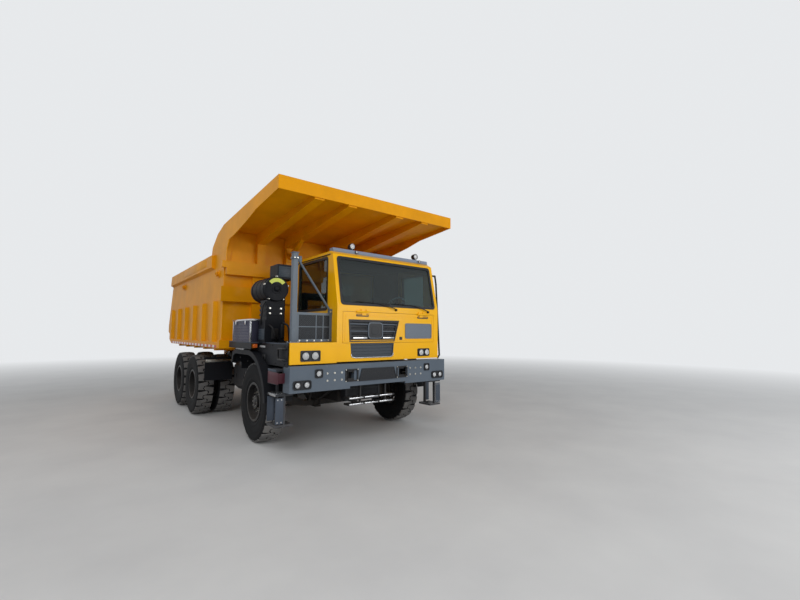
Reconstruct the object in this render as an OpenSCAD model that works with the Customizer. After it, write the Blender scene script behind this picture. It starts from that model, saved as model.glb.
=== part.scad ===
// Six-wheel mining dump truck, wide body, with twin rear tyres and a canopy over the cab.
// Built in millimetres. X is the truck's left, Y the rear, Z up. Places along Y are told
// from the front axle, and the whole truck is shifted at the end so that its middle is at 0.

/* [Tyres and wheels] */
// Outside diameter of a tyre
tyre_d = 1370; // [1300:1:1400]
// Width of a tyre
tyre_w = 365; // [320:1:375]
// Diameter of the rim where the tyre sits
seat_d = 640; // [600:1:680]
// Distance between the middles of twin tyres
twin_pitch = 460; // [430:1:470]
// Distance between the middles of the front tyres
front_track = 2920; // [2860:1:2960]
// Distance between the middles of the twin pairs
rear_track = 3030; // [2980:1:3040]
// Distance from the front axle to the first rear axle
wheelbase = 3350; // [3250:1:3500]
// Distance between the rear axles
bogie_pitch = 1500; // [1450:1:1600]

/* [Frame] */
// Distance between the outer faces of the frame rails
frame_w = 940; // [900:1:960]
// Height of a frame rail
rail_h = 360; // [300:1:380]
// Width of a rail's flanges
flange_w = 100; // [80:1:110]
// Thickness of a rail's web and flanges
rail_t = 16; // [12:1:20]
// Height of the rails' top face above the ground
rail_top = 1380; // [1375:1:1385]

/* [Bumper] */
// Width of the bumper
bumper_w = 3216; // [3150:1:3280]
// Height of the bumper
bumper_h = 400; // [360:1:420]
// Height of the bumper's lower edge
bumper_z = 990; // [960:1:1010]
// Depth of the bumper
bumper_depth = 230; // [200:1:250]
// Distance from the front axle forward to the bumper's face
nose = 1474; // [1470:1:1500]
// Thickness of the bumper's plate
bumper_t = 16; // [12:1:20]

/* [Cab] */
// Width of the cab
cab_w = 2280; // [2240:1:2290]
// Length of the cab
cab_len = 1600; // [1560:1:1640]
// Height of the cab
cab_h = 1880; // [1860:1:1900]
// Thickness of the cab's walls
cab_t = 60; // [50:1:70]
// Distance from the middle of the truck to the cab's left side
cab_left = 1500; // [1490:1:1510]
// Height of the windscreen's lower edge above the cab's base
sill_h = 930; // [910:1:960]
// Backward lean of the windscreen
screen_lean = 190; // [160:1:200]
// Width of the front pillars
pillar_w = 82; // [70:1:100]
// Length of the door
door_len = 900; // [860:1:940]
// Height of the cab's wall above the door
header_h = 110; // [95:1:130]

/* [Dump bed] */
// Width of the bed over its ribs
bed_w = 3840; // [3800:1:3850]
// Thickness of the bed's plates
plate_t = 20; // [16:1:24]
// Depth of the ribs on the bed's sides
rib_depth = 70; // [60:1:80]
// Depth of the bands on the bed's front
front_depth = 120; // [100:1:130]
// Distance between the ribs on the sides
rib_pitch = 905; // [880:1:920]
// Height of the floor above the ground
floor_z = 1620; // [1610:1:1640]
// Height of the top rail above the ground
bed_top = 3540; // [3500:1:3560]
// Height of the canopy's front edge above the ground
lip_top = 4286; // [4260:1:4300]
// Height of the canopy's front edge from its top to its bottom
lip_h = 219; // [200:1:230]
// Depth of the canopy's plate below its side boards
tray_depth = 140; // [120:1:160]
// Distance from the front axle to the bed's front face
bed_front_y = 1160; // [1150:1:1180]
// Distance from the tip hinge to the bed's tail
tail_reach = 1200; // [1150:1:1250]
// Distance from the front axle forward to the canopy's edge
canopy_reach = 1434; // [1400:1:1460]
// Distance from the last axle to the tip hinge
hinge_back = 1000; // [960:1:1040]

/* [Hoist] */
// Outside diameter of a hoist barrel
barrel_d = 190; // [170:1:196]
// Diameter of a hoist rod
rod_d = 100; // [90:1:110]

/* [Fits] */
// Clearance round a pin, rod or spindle
fit = 0.5; // [0.3:0.1:1]
// Gap between pieces that rest on each other
seat_gap = 0.3; // [0.2:0.1:0.5]
// Gap round a door or flap
panel_gap = 6; // [5:1:8]

/* [Hidden] */
$fn = 48;
tyre_r = tyre_d / 2;
seat_r = seat_d / 2;
axle_z = tyre_r;
front_x = front_track / 2;
rear_x = rear_track / 2;
rear_ys = [wheelbase, wheelbase + bogie_pitch];
hinge_y = wheelbase + bogie_pitch + hinge_back;
hinge_z = rail_top - 100;
tail_y = hinge_y + tail_reach;
y_shift = (nose - tail_y) / 2;

// Frame
rail_x = frame_w / 2;
rail_z = rail_top - rail_h;
rail_front = -nose + bumper_depth;
rail_back = hinge_y - 150;
rail_mid_x = rail_x - flange_w / 2;
tow_x = rail_x + 60;
tow_zs = [bumper_z + 130, bumper_z + 295];
tow_pin_y = -nose + 75;
notch_x = [-560, 610];
notch_h = 35;
pin_r = 45;
ear_r = 90;
arm_y = [-1200, 960];
arm_h = 150;
arm_top = rail_top - 25;
arm_end = 1560;
guard_front = -910;
rear_flap_y = wheelbase - 1005;
mount_ys = [-1050, 40];
cab_z = rail_top + 40;

// Drive shafts, as height above the axles and reach of the axles' noses
shaft_up = 120;
nose_len = 340;

// Steering
king_x = front_x - 350;
king_r = 32;
boss_r = 70;
boss_h = 200;
spindle_r = 55;
arm_len = 230;
tie_r = 24;
ball_r = 16;

// Hoist, from its pin under the frame to its pin under the bed
hoist_x = 820;
hoist_eye_w = 90;
base_y = wheelbase - 1200;
base_z = 850;
head_y = wheelbase + 950;
head_z = 1420;
hoist_len = sqrt(pow(head_y - base_y, 2) + pow(head_z - base_z, 2));
hoist_tilt = atan2(head_z - base_z, head_y - base_y);
barrel_len = 1880;

// Cab
cab_right = cab_left - cab_w;
cab_front = -1400;
cab_back = cab_front + cab_len;
cab_top = cab_z + cab_h;
screen_z = cab_z + sill_h;
roof_z = cab_top - 60;
door_y = cab_front + 280;
door_z = cab_z + 110;
door_h = roof_z - header_h - door_z;
door_hinge = [cab_left + 12, door_y - panel_gap / 2];
flap_x = [-670, 1380];
flap_z = [1730, 2250];
flap_t = 30;
flap_hinge = [cab_front - 12, flap_z[1] + panel_gap / 2];

// Deck beside the cab
deck_z = 1730;
deck_t = 30;
deck_x = [-1620, cab_right - 20];
deck_y = [cab_front + seat_gap, 980];

// Bed
bed_x = bed_w / 2;
skin_x = bed_x - rib_depth;
in_x = skin_x - plate_t;
front_skin = bed_front_y + front_depth;
rib_first = bed_front_y + 640;
rib_top = 2530;
sill_w = 160;
rib_drop = 100;
top_rail = bed_top - 262;
rail_start = bed_front_y + 800;
bands = [[2510, 2810], [3050, 3320]];
eye_ys = [bed_front_y + 460, bed_front_y + 3740];
eye_z = 3100;
eye_r = 35;
front_ribs = [-1145, -515, 515, 1145];
knee_y = bed_front_y + 250;
knee_drop = 184;
rib_foot = bed_top + 200;
slope = knee_drop / (canopy_reach + knee_y);

// Extrudes a shape drawn in Y and Z between two places along X
module along_x(x0, x1) {
    translate([x0, 0, 0]) rotate([90, 0, 90]) linear_extrude(x1 - x0) children();
}

// Extrudes a shape drawn in X and Z between two places along Y
module along_y(y0, y1) {
    translate([0, y1, 0]) rotate([90, 0, 0]) linear_extrude(y1 - y0) children();
}

// A block between two corners
module block(a, b) {
    translate(a) cube(b - a);
}

// A round bar along X between two places
module bar_x(x0, x1, y, z, r) {
    translate([x0, y, z]) rotate([0, 90, 0]) cylinder(r = r, h = x1 - x0);
}

// A round bar along Y between two places
module bar_y(y0, y1, x, z, r) {
    translate([x, y1, z]) rotate([90, 0, 0]) cylinder(r = r, h = y1 - y0);
}

// A straight tube between two points
module rod_between(a, b, r) {
    d = b - a;
    len = norm(d);
    translate(a) rotate([0, acos(d[2] / len), atan2(d[1], d[0])]) cylinder(r = r, h = len);
}

// The shape as drawn and its mirror image on the other side of the truck
module both_sides() {
    children();
    mirror([1, 0, 0]) children();
}

// Half width of a tyre's sidewall at a share of the way from bead to shoulder
function wall_w(t) = tyre_w * (0.4 * (1 - t) + 0.45 * t + 0.292 * t * (1 - t));

// Outline of half a tyre's section as radius and width, from bead to tread
function tyre_half() = concat(
    [for (t = [0, 0.3, 0.6, 0.9]) [seat_r + seat_gap + t * (tyre_r - 15 - seat_r), wall_w(t)]],
    [[tyre_r - 12, tyre_w * 0.43], [tyre_r, tyre_w * 0.37]]);

module tyre(x) {
    half = tyre_half();
    last = len(half) - 1;
    outline = concat([for (p = half) p], [for (i = [last:-1:0]) [half[i][0], -half[i][1]]]);
    translate([x, 0, 0]) rotate([0, 90, 0]) rotate_extrude() polygon(outline);
}

// Rim with its disc. The disc's face lies at dish from the rim's middle, towards the left.
module rim(x, dish) {
    w = tyre_w * 0.8;
    inner = seat_r - 22;
    translate([x, 0, 0]) rotate([0, 90, 0]) {
        rotate_extrude() polygon([
            [inner, -w / 2], [seat_r - 2, -w / 2], [seat_r, -w / 2 + 8],
            [seat_r, w / 2 - 8], [seat_r - 2, w / 2], [inner, w / 2]]);
        difference() {
            translate([0, 0, dish - 16]) cylinder(r = inner + 1, h = 16);
            for (a = [0:36:324])
                rotate([0, 0, a]) translate([inner * 0.76, 0, dish - 17]) cylinder(r = 34, h = 18);
        }
    }
}

// Front wheel of the left side, with its hub and brake drum
module front_wheel() {
    difference() {
        union() {
            rim(front_x, 60);
            bar_x(front_x - 150, front_x + 60, 0, 0, 150);
            bar_x(front_x + 44, front_x + 130, 0, 0, 105);
        }
        bar_x(front_x - 151, front_x + 60, 0, 0, spindle_r + fit);
    }
}

// Twin wheels of the left side, joined by their hub
module twin_wheels() {
    inner = rear_x - twin_pitch / 2;
    outer = rear_x + twin_pitch / 2;
    difference() {
        union() {
            rim(inner, 130);
            rim(outer, -98);
            bar_x(inner - 90, outer - 98, 0, 0, 150);
            bar_x(outer - 99, outer + 30, 0, 0, 105);
        }
        bar_x(inner - 91, rear_x + 60, 0, 0, spindle_r + fit);
    }
}

// Frame rails with their cross members, cab mounts, hoist shaft and tip hinge
module frame() color([0.12, 0.12, 0.13]) {
    both_sides() {
        along_y(rail_front, rail_back) polygon([
            [rail_x, rail_z], [rail_x, rail_top], [rail_x - flange_w, rail_top],
            [rail_x - flange_w, rail_top - rail_t], [rail_x - rail_t, rail_top - rail_t],
            [rail_x - rail_t, rail_z + rail_t], [rail_x - flange_w, rail_z + rail_t],
            [rail_x - flange_w, rail_z]]);
        for (y = mount_ys)
            translate([rail_mid_x, y, rail_top - 1]) cylinder(r = 50, h = cab_z - rail_top + 1 - seat_gap);
        block([rail_x - flange_w, rail_back - 60, rail_z + 100], [rail_x, hinge_y, rail_top - 12]);
        bar_x(rail_x - flange_w, rail_x, hinge_y, hinge_z, ear_r - 2);
        bar_x(rail_x - flange_w - 30, rail_x + 30, hinge_y, hinge_z, pin_r);
        block([rail_x - 70, base_y - 70, base_z - 80], [rail_x - 30, base_y + 70, rail_z + 1]);
    }
    for (y = [rail_front + 40, 1760, base_y + 250, wheelbase + bogie_pitch / 2 - 60, rail_back - 220])
        block([-rail_x + 5, y, rail_z + 60], [rail_x - 5, y + 120, rail_top - 60]);
    both_sides() bar_x(rail_x - 70, hoist_x + hoist_eye_w / 2 + 25, base_y, base_z, pin_r);
}

// Beams from the rails that carry the deck, the mudguards and the steps
module outriggers() color([0.12, 0.12, 0.13]) both_sides() for (y = arm_y) {
    along_y(y - 50, y + 50) polygon([
        [rail_x, arm_top - arm_h - 60], [rail_x, arm_top], [arm_end, arm_top],
        [arm_end, arm_top - 90]]);
}

// Lamps in the bumper as [across, height], and their radius
bumper_lamps = [[1480, 1105], [1330, 1105], [1130, 1262]];
lamp_r = 42;

// Plate of the bumper's section, drawn in Y and Z
module bumper_section() {
    difference() {
        translate([-nose, bumper_z]) square([bumper_depth, bumper_h]);
        translate([-nose + bumper_t, bumper_z + bumper_t])
            square([bumper_depth, bumper_h - 2 * bumper_t]);
    }
}

module bumper() color([0.25, 0.27, 0.29]) difference() {
    union() {
        difference() {
            along_x(-bumper_w / 2, bumper_w / 2) bumper_section();
            block([notch_x[0], -nose - 1, bumper_z - 1],
                [notch_x[1], -nose + bumper_depth + 1, bumper_z + notch_h]);
        }
        block([notch_x[0], -nose, bumper_z + notch_h],
            [notch_x[1], -nose + bumper_depth, bumper_z + notch_h + bumper_t]);
        both_sides() {
            block([bumper_w / 2 - bumper_t, -nose, bumper_z],
                [bumper_w / 2, -nose + bumper_depth, bumper_z + bumper_h]);
            block([rail_x - 90, -nose + 1, bumper_z + notch_h],
                [rail_x, -nose + bumper_depth, bumper_z + bumper_h - 1]);
        }
    }
    both_sides() {
        block([tow_x - 105, -nose - 1, tow_zs[0]], [tow_x + 105, -nose + bumper_t + 1, tow_zs[1]]);
        // Way up to the clevis for its pin
        block([tow_x - 50, tow_pin_y - 45, bumper_z - 1],
            [tow_x + 50, -nose + bumper_depth + 1, bumper_z + notch_h + bumper_t + 1]);
    }
    for (p = bumper_lamps) both_sides() bar_y(-nose - 1, -nose + bumper_t + 1, p[0], p[1], lamp_r);
}

// Step under the bumper's middle, with two slotted treads
module front_step() color([0.3, 0.31, 0.33]) {
    for (x = [-330, 190])
        block([x, -nose + 60, 700], [x + 30, -nose + 100, bumper_z + notch_h - seat_gap]);
    for (z = [700, 800]) difference() {
        block([-560, -nose + 40, z], [390, -nose + 200, z + 30]);
        for (i = [0:5]) block([-510 + i * 150, -nose + 70, z - 1], [-410 + i * 150, -nose + 170, z + 31]);
    }
}

// Towing clevises behind the bumper's openings, each with an upright pin hole
module tow_brackets() color([0.06, 0.06, 0.06]) both_sides() difference() {
    x0 = rail_x + seat_gap;
    x1 = tow_x + 70;
    y0 = -nose + bumper_t + 4;
    y1 = -nose + bumper_depth - 20;
    union() {
        for (z = [tow_zs[0], tow_zs[1] - 30]) block([x0, y0, z], [x1, y1, z + 30]);
        block([x0, -nose + 130, tow_zs[0]], [x1, y1, tow_zs[1]]);
    }
    translate([tow_x, tow_pin_y, tow_zs[0] - 1]) cylinder(r = 26, h = tow_zs[1] - tow_zs[0] + 2);
}

module front_axle() color([0.1, 0.1, 0.1]) {
    drop = 120;
    half = 55;
    difference() {
        union() {
            along_y(-half, half) polygon([
                [-king_x, axle_z - 60], [-king_x + 200, axle_z - 60 - drop / 2],
                [-650, axle_z - 45 - drop], [650, axle_z - 45 - drop],
                [king_x - 200, axle_z - 60 - drop / 2], [king_x, axle_z - 60],
                [king_x, axle_z + 60], [king_x - 230, axle_z + 60 - drop / 4],
                [650, axle_z + 55 - drop], [-650, axle_z + 55 - drop],
                [-king_x + 230, axle_z + 60 - drop / 4], [-king_x, axle_z + 60]]);
            both_sides() translate([king_x, 0, axle_z - boss_h / 2]) cylinder(r = boss_r, h = boss_h);
        }
        both_sides() translate([king_x, 0, axle_z - boss_h / 2 - 1])
            cylinder(r = king_r + fit, h = boss_h + 2);
    }
}

module front_springs() color([0.1, 0.1, 0.1]) both_sides() {
    seat = axle_z - 65 + seat_gap;
    end_y = 700;
    along_x(rail_mid_x - 45, rail_mid_x + 45) polygon([
        [-end_y - 20, rail_z], [-end_y - 20, 900], [-110, seat], [110, seat],
        [end_y + 20, 900], [end_y + 20, rail_z], [end_y - 20, rail_z],
        [end_y - 30, 935], [110, seat + 130], [-110, seat + 130],
        [-end_y + 30, 935], [-end_y + 20, rail_z]]);
}

// Left steering knuckle, drawn round its kingpin
module knuckle() {
    low = -boss_h / 2 - 45;
    translate([king_x, 0, axle_z]) {
        for (z = [low, boss_h / 2 + 5]) {
            translate([0, 0, z]) cylinder(r = 72, h = 40);
            block([0, -60, z], [110, 60, z + 40]);
        }
        block([80, -90, low], [110, 90, boss_h / 2 + 45]);
        translate([0, 0, low + 1]) cylinder(r = king_r, h = boss_h + 88);
        block([-30, 0, low], [30, arm_len, low + 40]);
        translate([0, arm_len, low]) cylinder(r = 40, h = 40);
        translate([0, arm_len, low - 45]) cylinder(r = ball_r, h = 50);
        bar_x(109, 135, 0, 0, 200);
        bar_x(109, front_x - king_x + 50, 0, 0, spindle_r);
    }
}

module knuckle_left() color([0.1, 0.1, 0.1]) knuckle();
module knuckle_right() color([0.1, 0.1, 0.1]) mirror([1, 0, 0]) knuckle();

module tie_rod() color([0.1, 0.1, 0.1]) {
    eye_h = 40;
    eye_z = axle_z - boss_h / 2 - 45 - seat_gap - eye_h;
    difference() {
        union() {
            both_sides() translate([king_x, arm_len, eye_z]) cylinder(r = 40, h = eye_h);
            bar_x(-king_x + 30, king_x - 30, arm_len, eye_z + eye_h / 2, tie_r / 2 + 6);
        }
        both_sides() translate([king_x, arm_len, eye_z - 1])
            cylinder(r = ball_r + fit, h = eye_h + 2);
    }
}

module at_front() translate([0, 0, axle_z]) children();
module at_rear(i) translate([0, rear_ys[i], axle_z]) children();

module front_tyre_left() color([0.05, 0.05, 0.05]) at_front() tyre(front_x);
module front_tyre_right() color([0.05, 0.05, 0.05]) at_front() tyre(-front_x);
module front_wheel_left() color([0.07, 0.07, 0.07]) at_front() front_wheel();
module front_wheel_right() color([0.07, 0.07, 0.07]) at_front() mirror([1, 0, 0]) front_wheel();

module tyre_pair(i, side) color([0.05, 0.05, 0.05]) at_rear(i)
    for (d = [-0.5, 0.5]) tyre(side * (rear_x + d * twin_pitch));
module tyres_1_left() tyre_pair(0, 1);
module tyres_1_right() tyre_pair(0, -1);
module tyres_2_left() tyre_pair(1, 1);
module tyres_2_right() tyre_pair(1, -1);

module wheel_pair(i) color([0.07, 0.07, 0.07]) at_rear(i) twin_wheels();
module wheels_1_left() wheel_pair(0);
module wheels_1_right() mirror([1, 0, 0]) wheel_pair(0);
module wheels_2_left() wheel_pair(1);
module wheels_2_right() mirror([1, 0, 0]) wheel_pair(1);

// Banjo axles with their differential cases and spindles
module rear_axles() color([0.1, 0.1, 0.1]) for (i = [0, 1]) at_rear(i) {
    case_w = 110;
    bar_x(-case_w, case_w, 0, 0, 260);
    bar_y(-nose_len, i == 0 ? nose_len : 0, 0, shaft_up, 80);
    both_sides() {
        translate([case_w - 1, 0, 0]) rotate([0, 90, 0]) cylinder(r1 = 230, r2 = 110, h = 160, $fn = 64);
        bar_x(case_w, rear_x - twin_pitch / 2 - 130, 0, 0, 110);
        bar_x(rear_x - twin_pitch / 2 - 132, rear_x - twin_pitch / 2 - 100, 0, 0, 200);
        bar_x(rear_x - twin_pitch / 2 - 131, rear_x + 50, 0, 0, spindle_r);
    }
}

// Leaf packs that rock on the frame between the rear axles
module rear_springs() color([0.1, 0.1, 0.1]) both_sides() {
    mid = (rear_ys[0] + rear_ys[1]) / 2;
    low = axle_z + 110 + seat_gap;
    reach = bogie_pitch / 2;
    x0 = rail_x + 60;
    along_x(x0, x0 + 120) polygon([
        [mid - reach - 130, low], [mid + reach + 130, low], [mid + reach + 130, low + 45],
        [mid + 130, low + 190], [mid - 130, low + 190], [mid - reach - 130, low + 45]]);
    block([rail_x + seat_gap, mid - 120, low + 60], [x0 + 1, mid + 120, rail_top - 90]);
}

module engine() color([0.3, 0.3, 0.3]) {
    half = rail_x - flange_w - 10;
    block([-half, -750, 660], [half, 800, rail_top + 20]);
    // Feet that reach to the rails' webs
    for (y = [-600, 560])
        block([-rail_x + rail_t + seat_gap, y, 1100], [rail_x - rail_t - seat_gap, y + 110, 1160]);
}

module radiator() color([0.08, 0.08, 0.08])
    block([-rail_x + flange_w + seat_gap, -1000, 700],
        [rail_x - flange_w - seat_gap, -860, rail_top + 20]);

// Gearbox behind the engine and the shafts to both rear axles
module driveline() color([0.3, 0.3, 0.3]) {
    shaft_z = axle_z + shaft_up;
    block([-260, 800 + seat_gap, 740], [260, 1700, 1300]);
    bar_y(1699, rear_ys[0] - nose_len - seat_gap, 0, shaft_z, 50);
    bar_y(rear_ys[0] + nose_len + seat_gap, rear_ys[1] - nose_len - seat_gap, 0, shaft_z, 50);
}

module side_tanks() color([0.1, 0.1, 0.1]) both_sides() {
    y0 = 1060;
    y1 = base_y - 290;
    difference() {
        block([rail_x + 60, y0, 700], [1400, y1, 1300]);
        along_y(y0 - 1, y1 + 1) polygon([[1401, 699], [1300, 699], [1401, 800]]);
        along_y(y0 - 1, y1 + 1) polygon([[1401, 1301], [1300, 1301], [1401, 1200]]);
    }
    for (y = [y0 + 120, y1 - 220])
        block([rail_x + seat_gap, y, rail_z + 20], [rail_x + 61, y + 100, 1280]);
}

// Platform beside the cab with the posts that carry it
module deck() color([0.15, 0.15, 0.16]) {
    block([deck_x[0], deck_y[0], deck_z - deck_t], [deck_x[1], deck_y[1], deck_z]);
    block([-1780, -260, deck_z - deck_t], [deck_x[0] + 1, deck_y[1], deck_z]);
    for (y = arm_y) for (x = [-1560, -900])
        block([x, y - 40, arm_top], [x + 60, y + 40, deck_z - deck_t + 1]);
    // Skirts along the outer side, ahead of the wheel and above it
    along_x(deck_x[0], deck_x[0] + 12) polygon([
        [deck_y[0], deck_z], [deck_y[0], 1375], [-620, 1375], [-300, 1565], [-60, 1603], [-60, deck_z]]);
    block([-1780, -260, deck_z - 120], [-1768, deck_y[1], deck_z]);
}

// Yellow front panel beside the cab
module corner_panel() color([0.98, 0.68, 0.08]) difference() {
    block([-1595, -1425, 1410], [cab_right - 10, -1400, 1742]);
    for (x = [-1335, -1175]) bar_y(-1426, -1399, x, 1535, 62);
}

// Square post with its brace and the framed guard beside the cab
module guard_post() color([0.3, 0.32, 0.34]) {
    px = -1455;
    py = -1210;
    x1 = cab_right - seat_gap;
    block([px - 40, py - 40, deck_z + seat_gap], [px + 40, py + 40, cab_top - 140]);
    rod_between([px + 20, py, cab_top - 190], [x1 - 30, py, screen_z - 90], 18);
    block([x1 - 60, py - 25, screen_z - 150], [x1, py + 25, screen_z - 60]);
    difference() {
        block([px + 39, py - 15, deck_z + 20], [x1, py + 15, screen_z - 130]);
        block([px + 85, py - 16, deck_z + 60], [x1 - 45, py + 16, screen_z - 170]);
    }
    block([px + 84, py - 1.5, deck_z + 59], [x1 - 44, py + 1.5, screen_z - 169]);
    block([px + 84, py - 8, deck_z + 253], [x1 - 44, py + 8, deck_z + 267]);
    for (x = [-1070, -944]) block([x, py - 8, deck_z + 59], [x + 14, py + 8, screen_z - 169]);
}

// Air cleaner's drum on its pedestal, with the pipe behind it
module air_cleaner() color([0.05, 0.05, 0.05]) {
    ax = -1500;
    az = 2630;
    pipe = [-1000, 400];
    bar_y(-600, 60, ax, az, 208);
    for (y = [-560, -20]) bar_y(y, y + 36, ax, az, 216);
    bar_y(-622, -599, ax, az, 196);
    bar_y(-645, -621, ax, az, 45);
    block([ax + 10, -600, az + 180], [ax + 310, -260, az + 430]);
    block([ax - 140, -560, 2100], [ax + 160, -260, az - 190]);
    for (z = [2180, 2260, 2340]) block([ax - 150, -570, z], [ax + 170, -250, z + 30]);
    block([ax - 160, -560, deck_z + seat_gap], [ax + 180, -260, 2110]);
    bar_y(59, pipe[1], ax, az, 75);
    translate([ax, pipe[1], az]) sphere(r = 75);
    bar_x(ax, pipe[0], pipe[1], az, 75);
    translate([pipe[0], pipe[1], az]) sphere(r = 75);
    translate([pipe[0], pipe[1], deck_z + seat_gap]) cylinder(r = 75, h = az - deck_z - seat_gap);
}

// Tread-plate box with the batteries
module battery_box() color([0.55, 0.56, 0.58]) {
    block([-1790, -230, deck_z + seat_gap], [-1390, 720, 2095]);
    block([-1800, -240, 2094], [-1380, 730, 2125]);
}

// Mudguards over the front wheels and flaps ahead of the rear wheels
module mudguards() color([0.08, 0.08, 0.08]) {
    mudguard(cab_left + panel_gap, door_z - 35);
    mirror([1, 0, 0]) mudguard(1290, deck_z - 140);
}

// Arc of a mudguard with radius r, drawn in Y and Z from its front foot to its top
function guard_arc(r) = [for (i = [0:10]) let (a = 6 + 8.4 * i) [-r * cos(a), 700 + r * sin(a)]];

// The same arc from its top to its foot
function guard_arc_back(r) = [for (i = [10:-1:0]) guard_arc(r)[i]];

// Mudguard from x0 outwards and up to a height, with its lip and the flap behind it
module mudguard(x0, top) {
    t = 12;
    r = top - 700;
    back = arm_y[1] - 55;
    x1 = 1750;
    edge = concat(guard_arc(r), [[back - 205, top], [back - 55, top - 65], [back, 1330]]);
    along_x(x0, x1) polygon(concat(edge,
        [[back - t, 1328], [back - 65, top - 73], [back - 208, top - t]], guard_arc_back(r - t)));
    along_x(x1 - 25, x1) polygon(concat(edge,
        [[back - 60, 1330], [back - 105, top - 130], [back - 215, top - 85]], guard_arc_back(r - 85)));
    block([max(x0, 1300), back - 10, 1200], [arm_end, back + 5, 1345]);
    // Flap ahead of the rear wheels, hung from a bar on the rail
    bar_x(rail_x + seat_gap, 1900, rear_flap_y, 1330, 25);
    block([1300, rear_flap_y - 10, 850], [1880, rear_flap_y + 2, 1312]);
}

// Steps ahead of the front wheels
module steps() color([0.3, 0.31, 0.33]) both_sides() {
    x0 = 1440;
    x1 = 1720;
    y0 = rail_front + 6;
    y1 = guard_front - seat_gap;
    bar_x0 = arm_end + seat_gap;
    for (y = [y0, y1 - 50]) block([bar_x0, y, 470], [bar_x0 + 30, y + 50, 1262]);
    block([bar_x0, y0, 1200], [bar_x0 + 30, y1, 1262]);
    block([bar_x0, arm_y[0] - 38, 1200], [bar_x0 + 30, arm_y[0] + 50, arm_top - 5]);
    // Ledge with its panel
    difference() {
        block([bar_x0, y0, 1300], [x1, y1, 1335]);
        for (i = [0:1]) block([x0 + 146 + i * 58, y0 + 25, 1299], [x0 + 176 + i * 58, y1 - 25, 1336]);
    }
    for (y = [y0, y1 - 50]) block([bar_x0, y, 1261], [bar_x0 + 30, y + 50, 1301]);
    block([x1 - 12, y0, 1110], [x1, y1, 1301]);
    for (z = [470, 930]) difference() {
        block([x0, y0, z], [x1, y1, z + 35]);
        for (i = [0:3]) block([x0 + 30 + i * 58, y0 + 25, z - 1], [x0 + 60 + i * 58, y1 - 25, z + 36]);
    }
}

// Pipe rail beside the door
module grab_rail() color([0.05, 0.05, 0.05]) {
    y = -1250;
    x0 = cab_left + seat_gap;
    pts = [[x0, y, 3060], [1570, y, 3060], [1600, y, 2900], [1690, y, 1460], [1640, y, 1400]];
    for (i = [0:len(pts) - 2]) rod_between(pts[i], pts[i + 1], 18);
    for (i = [1:len(pts) - 2]) translate(pts[i]) sphere(r = 20);
    rod_between([x0, y, 2250], [1636, y, 2250], 14);
}

// Side view of the cab, drawn in Y and Z, made smaller all round by d
module cab_profile(d) {
    lean = screen_lean / (roof_z - screen_z);
    polygon([
        [cab_front + d, cab_z + d], [cab_front + d, screen_z],
        [cab_front + screen_lean + d, roof_z],
        [cab_front + screen_lean + 100 + d / 2, cab_top - d],
        [cab_back - 60 - d / 2, cab_top - d], [cab_back - d, roof_z], [cab_back - d, cab_z + d]]);
}

// Slab of the windscreen's opening or glass. g is the gap at its edge, t its thickness.
module screen_slab(g, t, back) {
    a = atan2(screen_lean, roof_z - screen_z);
    h = norm([screen_lean, roof_z - screen_z]);
    translate([0, cab_front, screen_z]) rotate([-a, 0, 0])
        block([cab_right + pillar_w + g, back, 25 + g], [cab_left - pillar_w - g, back + t, h - 45 - g]);
}

// Openings in the cab's sides and rear as [y0, y1, z0, z1]
side_window = [cab_front + 350, cab_back - 120, screen_z - 60, roof_z - 40];
rear_window = [cab_right + 500, cab_left - 500, screen_z + 80, roof_z - 90];

// Places of the hinges of the door and the flap
hinge_zs = [door_z + 260, door_z + door_h - 360];
flap_hinge_xs = [-300, 1010];
door_pin_r = 6;
flap_pin_r = 5;

module cab_shell() color([0.98, 0.68, 0.08]) {
    cab_walls();
    for (z = hinge_zs) {
        translate([door_hinge[0], door_hinge[1], z - 21]) cylinder(r = door_pin_r, h = 102);
        for (dz = [-22, 62]) {
            translate([door_hinge[0], door_hinge[1], z + dz]) cylinder(r = 11, h = 20);
            block([cab_left - 1, door_hinge[1] - 60, z + dz], [door_hinge[0] + 5, door_hinge[1], z + dz + 20]);
        }
    }
    for (x = flap_hinge_xs) {
        bar_x(x - 21, x + 101, flap_hinge[0], flap_hinge[1], flap_pin_r);
        for (dx = [-22, 82]) {
            bar_x(x + dx, x + dx + 20, flap_hinge[0], flap_hinge[1], 11);
            block([x + dx, flap_hinge[0] - 4, flap_hinge[1]], [x + dx + 20, cab_front + 1, flap_hinge[1] + 50]);
        }
    }
}

module cab_walls() difference() {
    along_x(cab_right, cab_left) cab_profile(0);
    along_x(cab_right + cab_t, cab_left - cab_t) cab_profile(cab_t);
    block([cab_right - 1, cab_front, roof_z], [cab_left + 1, cab_back + 1, cab_top + 1]);
    screen_slab(0, cab_t * 3, -cab_t);
    block([cab_left - cab_t - 1, door_y - panel_gap, door_z - panel_gap],
        [cab_left + 1, door_y + door_len + panel_gap, door_z + door_h + panel_gap]);
    block([cab_right - 1, side_window[0], side_window[2]],
        [cab_right + cab_t + 1, side_window[1], side_window[3]]);
    block([rear_window[0], cab_back - cab_t - 1, rear_window[2]],
        [rear_window[1], cab_back + 1, rear_window[3]]);
    block([flap_x[0] - panel_gap, cab_front - 1, flap_z[0] - panel_gap],
        [flap_x[1] + panel_gap, cab_front + flap_t + 10, flap_z[1] + panel_gap]);
    // Recess of the lower grille
    along_y(cab_front - 1, cab_front + 25) polygon([
        [-520, 1722], [-500, 1490], [-420, 1470], [320, 1470], [380, 1490], [400, 1722]]);
}

module cab_roof() color([0.98, 0.68, 0.08]) difference() {
    along_x(cab_right, cab_left) cab_profile(0);
    along_x(cab_right + cab_t, cab_left - cab_t) cab_profile(cab_t);
    block([cab_right - 1, cab_front - 1, cab_z - 1], [cab_left + 1, cab_back + 1, roof_z]);
}

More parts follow.
